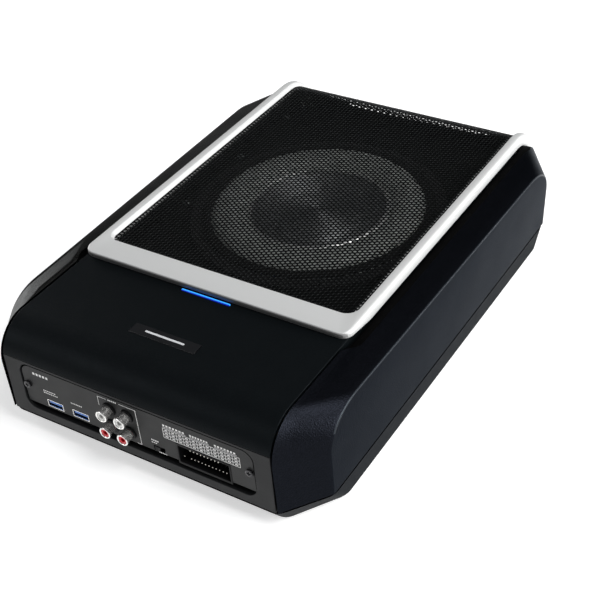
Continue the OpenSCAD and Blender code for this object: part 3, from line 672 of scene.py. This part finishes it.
def build_tray():
    """The base tray, with cooling grooves, screw recesses and bracket holes in its underside."""
    lean, low, rim = 9.0, TRAY_LOW + 0.01, -1.8
    bm = bmesh.new()
    loft(bm, [[at(x, y, low) for x, y in tray_plan(0.0, lean)],
              [at(x, y, rim) for x, y in tray_plan(0.3, 0.3)]])
    tray = object_from("tray", bm)
    bm = bmesh.new()
    loft(bm, [[at(x, y, low + WALL) for x, y in tray_plan(WALL, lean)],
              [at(x, y, 1.0) for x, y in tray_plan(WALL, 0.0)]])
    grooves = [block("groove", 6.5 * i - 2.2, 6.5 * i + 2.2, 22, 96, TRAY_LOW - 2, TRAY_LOW + 1.2)
               for i in range(-11, 12)]
    screws = [(x, y, 3.4, 1.6) for x in (-88, 88) for y in (26, 185, 344)]
    brackets = [(x, y, 2.1, 9) for x in (-92, 92) for y in (75, 295)]
    holes = [plug((x, y), r, TRAY_LOW - 3, TRAY_LOW + deep, steps=32)
             for x, y, r, deep in screws + brackets]
    cut(tray, object_from("inside", bm), join("grooves", grooves), join("holes", holes))
    round_edges(tray, 0.5, 3, 24)
    tray.data.materials.append(MATERIALS["tray"])
    tray.data.materials.append(MATERIALS["recess"])
    for face in tray.data.polygons:  # painted shade: the rim is black, deep in the parting line
        if face.normal.z > 0.5 and face.center.z > LINE_Z - 2.5 * MM:
            face.material_index = 1
    return tray


def build_bezel():
    """The frame round the connector plate."""
    half = CENTRE - SEAM
    low, high, thick = 0.1, FACE_TOP - 0.3, 4.0
    side_view = [(0.0, low), (thick, low), (thick + FACE_LEAN, high), (FACE_LEAN, high)]
    face = prism("face", side_view, "x", -half, half)
    hole = rounded_rectangle(*FACE_OPENING, FACE_OPENING_R, steps=10)
    cut(face, prism("hole", hole, "y", -2, 12))
    return round_edges(face, 0.45, 3, 28)


def build_bezel_recess():
    """The sleeve round the connector plate, and the back of the groove under it, black as painted shade.
    """
    inner = rounded_rectangle(-90.05, 90.05, 6.45, 42.75, 8.05, steps=10)
    outer = rounded_rectangle(-92, 92, 4.5, 44.2, 10, steps=10)
    front, rear = 3.0, 7.0
    rings = [(inner, front), (inner, rear), (outer, rear), (outer, front), (inner, front)]
    bm = bmesh.new()
    loft(bm, [[at(x, y, z) for x, z in ring] for ring, y in rings], capped=False)
    back = block("back", -90.5, 90.5, 5.5, 6.9, 4.6, 9.3)
    return join("recess", [shade(object_from("sleeve", bm)), back])


# ---- Trim and grille ----
def wrap(x, s, z, r):
    """A point of the flat pattern: s runs back along the top, and then down the rear arch."""
    if s <= ARCH_Y:
        return at(x, s, z)
    angle, out = (s - ARCH_Y) / r, z - ARCH_LOW
    return at(x, ARCH_Y + out * math.sin(angle), ARCH_LOW + out * math.cos(angle))


INNER_EDGE = 97.6  # top inner edge of the trim's arms
BAR_BACK = 106.4  # top inner edge of the trim's front bar
OUTER_CORNER, INNER_CORNER = 8.0, 9.0
GRILLE_TOP = 66.8
GRILLE_T = 0.5


def trim_stations():
    """Outer point, inner point, the way inwards from both, and how much it is bar, all round the U."""
    end = ARCH_Y + TRIM_ARCH_R * math.pi / 2
    down_arch = [end + (ARCH_Y - end) * i / 14 for i in range(15)]
    along_arm = [260, 190, 140, BAR_BACK + INNER_CORNER + 2]
    half = [((TRIM_HALF, s), (INNER_EDGE, s), (-1, 0), 0.0) for s in down_arch + along_arm]
    turns = 16
    for i in range(turns + 1):
        c, s = math.cos(math.pi / 2 * i / turns), math.sin(math.pi / 2 * i / turns)
        outer = (TRIM_HALF - OUTER_CORNER + OUTER_CORNER * c,
                 TRIM_FRONT + OUTER_CORNER - OUTER_CORNER * s)
        inner = (INNER_EDGE - INNER_CORNER + INNER_CORNER * c,
                 BAR_BACK + INNER_CORNER - INNER_CORNER * s)
        half.append((outer, inner, (-c, s), smoothstep(i / turns)))
    mirrored = [((-o[0], o[1]), (-i[0], i[1]), (-n[0], n[1]), bar) for o, i, n, bar in half]
    return half + mirrored[::-1]


def build_trim():
    """The U-shaped trim: one section swept round its stations."""
    turns = [math.pi / 2 * k / 7 for k in range(8)]
    fillet = [(1 - math.cos(a), 1 - math.sin(a)) for a in turns]
    rows = []
    for (ox, oy), (ix, iy), (nx, ny), bar in trim_stations():
        top = TRIM_TOP - 1.0 * bar
        edge_r = 2.4 - 1.0 * bar  # the arms are softly rounded, the front bar is crisp
        foot = SHELL_TOP + 0.05 - 3.2 * smoothstep((oy - TRIM_FRONT - 6) / 16)
        ledge = 4.4 if ix > INNER_EDGE - INNER_CORNER else 3.9  # wider along the right arm
        # from the outer side: the wall's foot, undercut so that it stands in its own shadow, and its top
        outer = [(0.8, foot), (0.0, foot + 1.3)]
        outer += [(a * edge_r, top - drop * edge_r) for a, drop in fillet]
        # the top, its inner edge, the bevel down to the grille, and the ledge under it
        inner = [(-0.5, TRIM_TOP), (-0.15, TRIM_TOP - 0.1), (0.15, TRIM_TOP - 0.4),
                 (1.7, GRILLE_TOP - 0.4), (1.7, GRILLE_TOP - GRILLE_T - 0.7),
                 (ledge, GRILLE_TOP - GRILLE_T - 0.7), (ledge, SHELL_TOP + 0.25),
                 (0.0, SHELL_TOP + 0.05)]
        under = [(2.0, SHELL_TOP + 0.05), (1.4, foot)]
        rows.append([wrap(x + nx * a, y + ny * a, z, TRIM_ARCH_R)
                     for (x, y), part in (((ox, oy), outer), ((ix, iy), inner), ((ox, oy), under))
                     for a, z in part])
    bm = bmesh.new()
    loft(bm, rows)
    trim = shade(object_from("trim", bm), 40)
    for look in ("trim", "trim_turn_painted_shade", "trim_wall"):
        trim.data.materials.append(MATERIALS[look])
    for face in trim.data.polygons:  # painted shade on the front bar's wall: darker where it turns down, darkest where it faces forward
        if face.center.y < FACE_Y + (TRIM_FRONT + 3) * MM:
            face.material_index = int(face.normal.y < -0.65) + int(face.normal.y < -0.9)
    return trim


def hexagon(cx, cy, r):
    angles = [math.radians(60 * k) for k in range(6)]
    return [(cx + r * math.cos(a), cy + r * math.sin(a)) for a in angles]


def build_grille():
    """A sheet of small six-sided holes in a honeycomb, bent over the rear arch, with a solid foot."""
    pitch, hole_r = 3.28, 1.28
    step = pitch * math.cos(math.radians(30))
    reach = pitch / 2 / math.cos(math.radians(30))
    half = INNER_EDGE - 1.75
    bend_r = GRILLE_TOP - ARCH_LOW
    start, end = BAR_BACK + 1.75, ARCH_Y + bend_r * math.pi / 2
    columns = int((half - hole_r * 0.9) / step)
    rows = int((end - start) / pitch) + 2
    bm = bmesh.new()
    shared = {}

    def lattice_key(x, s):
        """The lattice point nearest to (x, s) inside the sheet, shared between its cells."""
        x, s = min(max(x, -half), half), min(max(s, start), end)
        key = (round(x, 3), round(s, 3))
        if key not in shared:
            shared[key] = bm.verts.new(wrap(x, s, GRILLE_TOP, bend_r))
        return key

    for column in range(-columns - 2, columns + 3):
        for row in range(-2, rows + 1):
            cx = column * step
            cs = start + 1.9 + pitch * (row + 0.5 * (column % 2))
            corners = [lattice_key(x, s) for x, s in hexagon(cx, cs, reach)]
            # the field of holes has its lower corners cut
            field_end = end - 10 - 14 * smoothstep((abs(cx) - 50) / 45)
            if abs(column) <= columns and start + hole_r + 0.3 < cs < field_end:
                ring = [bm.verts.new(wrap(x, s, GRILLE_TOP, bend_r)) for x, s in hexagon(cx, cs, hole_r)]
                for k in range(6):
                    j = (k + 1) % 6
                    bm.faces.new((shared[corners[k]], shared[corners[j]], ring[j], ring[k]))
                continue
            keys = [key for i, key in enumerate(corners) if key != corners[i - 1]]
            area = sum(a[0] * b[1] - b[0] * a[1] for a, b in zip(keys, keys[1:] + keys[:1])) / 2
            if len(set(keys)) >= 3 and abs(area) > 0.01:
                bm.faces.new([shared[key] for key in keys])
    bmesh.ops.recalc_face_normals(bm, faces=bm.faces)
    loose = [v for v in bm.verts if not v.link_faces]
    bmesh.ops.delete(bm, geom=loose, context="VERTS")
    sheet = raw_object("sheet", bm)
    if sheet.data.polygons[0].normal.z < 0:
        sheet.data.flip_normals()
    solid = sheet.modifiers.new("thickness", "SOLIDIFY")
    solid.thickness = GRILLE_T * MM
    solid.offset = -1
    solid.material_offset_rim = 1  # the holes' walls are lighter and glossier than the sheet: a painted highlight
    sheet.data.materials.append(MATERIALS["grille"])
    sheet.data.materials.append(MATERIALS["grille_edge"])
    return shade(apply_modifiers(sheet), 35)


# ---- Loudspeaker ----
def lathe_between(name, profile, outer_r, inner_r, node):
    """Makes a turned ring in place of a CAD node, with that node's material. outer_r and inner_r are not
    used.
    """
    piece = shade(lathe(name, profile, DRIVER, steps=128), 60)
    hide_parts(node)
    piece.data.materials.append(MATERIALS[node])
    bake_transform(piece)


def build_surround():
    low, high = casing_box("surround")
    rim, skin = low.z, 0.8
    outer, inner, flange, lip = 77.0, 53.0, 84.0, 49.0
    mid, half, rise = (outer + inner) / 2, (outer - inner) / 2, high.z - low.z - 0.02
    over = arc(mid, rim + 0.02, half, rise, 0, 180, 28)
    under = arc(mid, rim + 0.01, half - skin, rise - skin, 180, 0, 28)
    profile = ([(flange, rim + 0.01), (flange, rim + skin), (outer + 0.6, rim + skin)] + over[1:-1]
               + [(inner - 0.6, rim + skin), (lip, rim + skin), (lip, rim + 0.01)] + under)
    lathe_between("surround_roll", profile, outer, inner, "surround")


def build_spider():
    low, high = casing_box("spider")
    inner, outer = 25.76, (high.x - low.x) / 2
    middle = (low.z + high.z) / 2
    steps = 110
    line = []
    for i in range(steps + 1):
        t = i / steps
        wave = 0.0 if t < 0.1 or t > 0.9 else 1.3 * math.sin(10 * math.pi * t)
        line.append((inner + (outer - inner) * t, middle + wave))
    profile = [(r, z - 0.28) for r, z in line] + [(r, z + 0.28) for r, z in reversed(line)]
    lathe_between("spider_disc", profile, outer - 4, inner + 1, "spider")


def build_cone():
    low, high = casing_box("cone")
    rim, neck = high.z, low.z
    outer, lip, throat = 52.7, 48.5, 27.2
    wall = 1.1
    top = [(outer, rim - 0.02), (lip, rim - 0.02)]
    run = 10
    for i in range(1, run + 1):  # a shallow flare towards the throat
        t = i / run
        top.append((lip + (throat - lip) * t, rim + (neck + 1.2 - rim) * (0.82 * t + 0.18 * t * t)))
    under = [(r + 0.3, z - wall) for r, z in reversed(top[2:])]
    bore = 25.76
    profile = (top + [(bore, neck + 1.2), (bore, neck + 0.02), (27.4, neck + 0.02)] + under[1:]
               + [(lip, rim - wall), (outer, rim - wall)])
    return shade(lathe("cone", profile, DRIVER, steps=128), 50)


def build_cone_rim():
    """A bright ring pressed over the cone's edge, sloping down outwards to the roll."""
    rim = casing_box("cone")[1].z
    profile = [(48.8, rim + 0.82), (48.8, rim + 2.6), (49.3, rim + 2.9), (50.3, rim + 2.35),
               (51.6, rim + 1.3), (52.1, rim + 0.82)]
    return shade(lathe("rim", profile, DRIVER, steps=128), 60)


def build_dust_cap():
    low, high = casing_box("dust_cap")
    radius, rise, skin = (high.x - low.x) / 2 - 0.02, high.z - low.z, 0.7
    outer = arc(0, low.z, radius, rise, 90, 0, 14)
    inner = [(r * (1 - skin / radius), low.z + (z - low.z) * (1 - skin / rise))
             for r, z in reversed(outer)]
    return shade(lathe("cap", outer + inner, DRIVER, steps=96, closed=False), 50)


# ---- Connectors ----
JACKS_LOW, JACKS_HIGH = casing_box("jack_barrels")
JACKS = [(x, z) for z in (JACKS_HIGH.z - JACK_R, JACKS_LOW.z + JACK_R)
         for x in (JACKS_LOW.x + JACK_R, JACKS_HIGH.x - JACK_R)]  # the upper two, then the lower two


def jack_parts(name, profile, places=JACKS, steps=40):
    """The same turned part in several jacks."""
    return join(name, [shade(lathe(name, profile, place, "y", steps)) for place in places])


def build_barrels():
    front = JACKS_LOW.y
    profile = [(3.05, front + 0.35), (3.3, front + 0.05), (3.9, front), (JACK_R, front + 0.25),
               (JACK_R, front + 1.6), (3.95, front + 1.9), (3.5, front + 2.1), (3.5, 0.2), (3.05, 0.2)]
    return jack_parts("barrels", profile)


def build_inserts(places):
    front = JACKS_LOW.y
    profile = [(1.62, front + 0.72), (1.75, front + 0.58), (2.9, front + 0.5), (3.03, front + 0.65),
               (3.03, 5.0), (1.95, 5.0), (1.95, front + 3.6), (1.62, front + 3.6)]
    return jack_parts("inserts", profile, places)


def build_contacts():
    """The sprung tube at the bottom of each jack's hole."""
    front = JACKS_LOW.y
    profile = [(1.6, front + 3.65), (1.92, front + 3.65), (1.92, 6.0), (1.6, 6.0)]
    return jack_parts("contacts", profile, steps=32)


def build_jack_block():
    """The moulded block behind the plate, with a collar round each jack's foot."""
    low, high = casing_box("jack_block")
    body = round_edges(block("body", low.x, high.x, 3.1, 14, low.z + 5.3, high.z), 0.4)
    leg = block("leg", low.x, high.x, 10, high.y, low.z, high.z - 1)
    profile = [(3.55, 0.45), (3.75, low.y), (4.6, low.y), (4.88, low.y + 0.3), (4.88, 3.2),
               (3.55, 3.2)]
    return join("jack_block", [body, leg, jack_parts("collars", profile)])


def build_usb_shade_sheets():
    """A black sheet inside each USB shell, behind its mouth: painted shade."""
    low, high = casing_box("usb_shells")
    half_w, half_h = 6.1, (high.z - low.z) / 2 - 0.45
    z, mouth = (low.z + high.z) / 2, low.y + 0.9
    play, skin = 0.02, 0.12
    rings = [(play, mouth), (play, 15.2), (skin, 14.9), (skin, mouth)]
    shade_sheets = []
    for x in (low.x + USB_HALF_W, high.x - USB_HALF_W):
        rows = [[at(x + sx * (half_w - inset), y, z + sz * (half_h - inset))
                 for sx, sz in ((-1, -1), (1, -1), (1, 1), (-1, 1))] for inset, y in rings]
        bm = bmesh.new()
        corners = loft(bm, rows[:2], capped=False)
        inner = loft(bm, rows[2:], capped=False)
        for i in range(4):
            j = (i + 1) % 4
            bm.faces.new((corners[0][i], corners[0][j], inner[1][j], inner[1][i]))
        bm.faces.new(corners[1])
        bm.faces.new(inner[0])
        shade_sheets.append(object_from("shade_sheet", bm))
    return join("shade_sheets", shade_sheets)


def build_plate():
    """The connector plate with its openings cut through."""
    left, right, top = PLATE_LOW.x + PLATE_GAP, PLATE_HIGH.x - PLATE_GAP, PLATE_HIGH.z - PLATE_GAP
    outline = [p for p in rounded_rectangle(left, right, 2.5, top, 7.4, steps=10) if p[1] > PLATE_LOW.z]
    outline += [(left, PLATE_LOW.z), (right, PLATE_LOW.z)]
    outline.sort(key=lambda p: math.atan2(p[1] - 26, p[0]))
    plate = prism("plate", outline, "y", PLATE_LOW.y, PLATE_HIGH.y)
    front, rear = -1, 6

    def opening(x0, x1, z0, z1):
        return block("opening", x0, x1, front, rear, z0, z1)

    cutters = [plug(place, 5.0, front, 5, "y") for place in JACKS]
    usb_low, usb_high = casing_box("usb_shells")
    for x in (usb_low.x + USB_HALF_W, usb_high.x - USB_HALF_W):
        cutters.append(opening(x - 6.7, x + 6.7, usb_low.z - 0.15, usb_high.z + 0.15))
    low, high = casing_box("power_socket")
    cutters.append(opening(low.x - 0.1, high.x + 0.1, 0, high.z + 0.1))
    low, high = casing_box("switch_knob")
    cutters.append(opening(low.x - 1.1, high.x + 4.2, low.z - 0.65, high.z + 0.65))
    for x in (-PLATE_SCREW_X, PLATE_SCREW_X):
        cutters.append(plug((x, PLATE_SCREW_Z), 1.6, front, 5, "y", 24))
    cut(plate, *cutters)
    return round_edges(plate, 0.2, 2, 30)


def build_print():
    """The white marks on the plate: plain rules, frames and dashes, with no lettering."""
    face, line = PLATE_LOW.y, 0.35
    marks = []

    def rule(x0, x1, z0, z1):
        marks.append(block("mark", x0, x1, face - 0.04, face + 0.1, z0, z1))

    def dashes(x0, x1, z, height, count):
        pitch, fill = (x1 - x0) / count, 0.62
        for i in range(count):
            rule(x0 + i * pitch, x0 + (i + fill) * pitch, z - height / 2, z + height / 2)

    dashes(-79.5, -66, 36.8, 1.9, 5)  # type label at the left
    dashes(-73.5, -63, 25.0, 0.8, 7)  # over the first USB socket, two lines
    dashes(-73.5, -61.5, 23.2, 0.8, 8)
    dashes(-51, -41.5, 23.2, 0.9, 7)  # over the second USB socket
    left, right, top, low = -26, 3.4, 39.6, 10.9  # bracket round the phono jacks
    rule(left, -19, top - line, top)
    dashes(-17.5, -10.5, top - 0.1, 1.1, 5)
    rule(-9, right, top - line, top)
    rule(left, left + line, 32.0, top)
    rule(right, right + line, low, top)
    rule(0.2, right, low, low + line)
    dashes(12.5, 18.5, 19.6, 1.1, 4)  # round the slide switch
    dashes(12.5, 17, 17.6, 0.8, 3)
    dashes(17, 23.5, 10.8, 0.8, 5)
    grid_left, grid_right, grid_low, grid_high = 23.5, 79.5, 26.2, 34.0
    columns, rows = 11, 3
    for i in range(columns + 1):  # the pin table over the power socket
        x = grid_left + (grid_right - grid_left) * i / columns
        rule(x - line / 2, x + line / 2, grid_low, grid_high)
    for i in range(rows + 1):
        z = grid_low + (grid_high - grid_low) * i / rows
        rule(grid_left, grid_right, z - line / 2, z + line / 2)
    for row in range(rows):  # a dash in each cell
        for i in range(columns):
            x = grid_left + (grid_right - grid_left) * (i + 0.28) / columns
            z = grid_low + (grid_high - grid_low) * (row + 0.5) / rows
            rule(x, x + 2.2, z - 0.4, z + 0.4)
    for x0, x1 in ((24, 41), (44, 58), (62, 78)):
        dashes(x0, x1, 36.6, 1.3, 7)
        rule(x0, x1, 35.0, 35.3)
    return join("print", marks)


# ---- Pieces in place ----
dress(build_top_shell(), "top_shell_skin", "shell", "top_shell")
dress(build_side_cap(1), "side_cap_right_skin", None, "side_cap_right")
dress(build_side_cap(-1), "side_cap_left_skin", None, "side_cap_left")
dress(build_tray(), "base_tray_skin", None, "base_tray")
dress(build_bezel(), "front_bezel_skin", "bezel", "front_bezel")
dress(build_bezel_recess(), "front_bezel_recess", "recess", "front_bezel")
dress(build_plate(), "connector_plate_skin", "plate", "connector_plate")
dress(build_print(), "plate_print", "print", slot="white_plastic")
dress(build_trim(), "trim_frame_skin", None, "trim_frame")
dress(build_grille(), "grille_mesh", None, "grille")

dress(round_edges(box(LIGHT_LOW, LIGHT_HIGH), 0.6, 4), "light_bar_lens", "light", "light_bar")
badge_low, badge_high = casing_box("name_badge")
dress(round_edges(box(badge_low, badge_high), 0.2, 3), "badge_plate", "badge", "name_badge")
pill_outline = rounded_rectangle(-15, 15, badge_low.y + 3.7, badge_low.y + 5.3, 0.8)
pill = prism("pill", pill_outline, "z", badge_high.z - 0.05, badge_high.z + 0.08)
dress(round_edges(pill, 0.04, 2), "badge_mark", "silver_mark", slot="trim_silver")

dress(build_barrels(), "jack_barrels_turned", "nickel", "jack_barrels")
dress(build_inserts(JACKS[:2]), "jack_inserts_upper", "white", "jack_inserts_white")
dress(build_inserts(JACKS[2:]), "jack_inserts_lower", "red", "jack_inserts_red")
dress(build_contacts(), "jack_contact_tubes", "nickel", "jack_contacts")
dress(build_jack_block(), "jack_block_moulding", "socket", "jack_block")
dress(build_usb_shade_sheets(), "usb_shade_sheets", "recess", slot="socket_black")

build_surround()
build_spider()
dress(build_cone(), "cone_paper", "cone", "cone", body="moving_cone")
dress(build_cone_rim(), "cone_rim_ring", "cone_rim", body="moving_cone", slot="cone_black")
dress(build_dust_cap(), "dust_cap_dome", "cone", "dust_cap", body="moving_cone")

# Small CAD parts with their edges rounded: node, look, edge radius in mm
SOFTENED = [
    ("plate_screws", "screw", 0.12), ("tray_screws", "steel", 0.15), ("rear_panel", "inner", 0.3),
    ("rubber_feet", "rubber", 0.5), ("usb_shells", "nickel", 0.12), ("usb_tongues", "blue", 0.15),
    ("power_socket", "socket", 0.3), ("switch_body", "socket", 0.15), ("switch_knob", "chip", 0.15),
    ("woofer_screws", "basket", 0.25), ("baffle_screws", "steel", 0.2), ("inner_baffle", "inner", 0.4),
    ("woofer_gasket", "gasket", 0.4), ("heat_bar", "aluminium", 0.3), ("capacitors", "can", 0.6),
    ("output_transistors", "chip", 0.2), ("board_chips", "chip", 0.15), ("choke_cores", "core", 0.6),
    ("choke_windings", "copper", 0.4), ("top_plate", "steel", 0.5), ("magnet", "ferrite", 0.8),
    ("yoke", "steel", 0.6), ("usb_risers", "socket", 0.2),
]
for node, look, radius in SOFTENED:
    body = "mode_switch" if node == "switch_knob" else "housing"
    dress(softened(node, radius), node + "_rounded", look, node, body=body)

contacts = softened("power_contacts", 0.12)
contacts.data.materials.append(MATERIALS["tin"])
contacts.data.materials.append(MATERIALS["socket"])
for face in contacts.data.polygons:  # painted shade: the pins' sides are black, only their tips show the tin
    face.material_index = int(face.normal.y > -0.3)
dress(contacts, "power_contacts_rounded", None, "power_contacts")

# CAD parts that keep their own mesh, with a material
KEPT = {
    "light_board": "board", "woofer_basket": "basket", "coil_former": "former",
    "coil_winding": "copper", "woofer_terminals": "tin", "speaker_leads": "wire",
    "amp_board": "board", "board_pillars": "steel", "board_screws": "steel",
    "transistor_clamp": "steel",
}
for node, look in KEPT.items():
    obj = frame["nodes"][node]
    obj.data.materials.clear()
    obj.data.materials.append(MATERIALS[look])

# ---- Stage, light and camera ----
floor_mesh = bmesh.new()
bmesh.ops.create_grid(floor_mesh, x_segments=1, y_segments=1, size=6)
floor = object_from("floor", floor_mesh)
floor.location.z = cad_bounds[0].z
paper = material("floor_pale", (0.7, 0.7, 0.7), 0.9, specular=0.0, grain=4, bump=0.0, mottle=0.01,
                 patch=200)
put(shader_of(paper), {"Emission Color": (1, 1, 1, 1), "Emission Strength": 0.56})
floor.data.materials.append(paper)

# Soft lights, in metres and watts: name, place, what it points at, width and height, power
LIGHTS = [
    ("overhead", (1.15, -0.15, 1.8), (0, 0, 0), (1.0, 1.0), 33),
    ("key_right", (2.0, 0.4, 0.5), (0.1, 0, 0.06), (1.3, 0.7), 44),
    ("rim_right", (1.6, 1.5, 0.3), (0.1, 0, 0.06), (0.35, 0.15), 5),
    ("fill_left", (-1.5, -1.6, 1.3), (0, 0, 0.05), (1.0, 1.0), 7),
    ("edge_left", (-1.8, 0.3, 0.36), (-0.1, -0.1, 0.05), (0.9, 0.5), 13),
    ("back_right", (0.9, 1.8, 1.75), (0, 0, 0.05), (1.0, 1.0), 2.5),
]
for name, place, target, size, power in LIGHTS:
    data = bpy.data.lights.new(name, "AREA")
    data.shape = "RECTANGLE"
    data.size, data.size_y = size
    data.energy = power
    lamp = add_object(name, data)
    lamp.location = place
    lamp.rotation_euler = (Vector(target) - Vector(place)).to_track_quat("-Z", "Y").to_euler()

world = bpy.data.worlds.new("studio")
world.use_nodes = True
put(world.node_tree.nodes["Background"], {"Color": (0.92, 0.95, 1.0, 1), "Strength": 0.12})
bpy.context.scene.world = world
bpy.context.scene.view_settings.view_transform = "Standard"

# The camera looks from the right front, tipped a little, with the picture's centre off its axis
AZIMUTH, ELEVATION, TILT = 33.22, 36.37, -4.52
AIM, DISTANCE = at(58.34, 157.8, 64.3), 0.81517
LENS, SHIFT = 74.37, (-0.0685, -0.0633)

turn, rise = math.radians(AZIMUTH), math.radians(ELEVATION)
back = Vector((math.sin(turn) * math.cos(rise), -math.cos(turn) * math.cos(rise), math.sin(rise)))
right = Vector((0, 0, 1)).cross(back).normalized()
right = Matrix.Rotation(math.radians(TILT), 3, back) @ right
up = back.cross(right)
camera = add_object("camera", bpy.data.cameras.new("camera"))
rotation = Matrix((right, up, back)).transposed().to_4x4()
camera.matrix_world = Matrix.Translation(AIM + back * DISTANCE) @ rotation
camera.data.sensor_width = 36
camera.data.lens = LENS
camera.data.shift_x, camera.data.shift_y = SHIFT
camera.data.clip_end = 20
bpy.context.scene.camera = camera

bpy.context.view_layer.update()
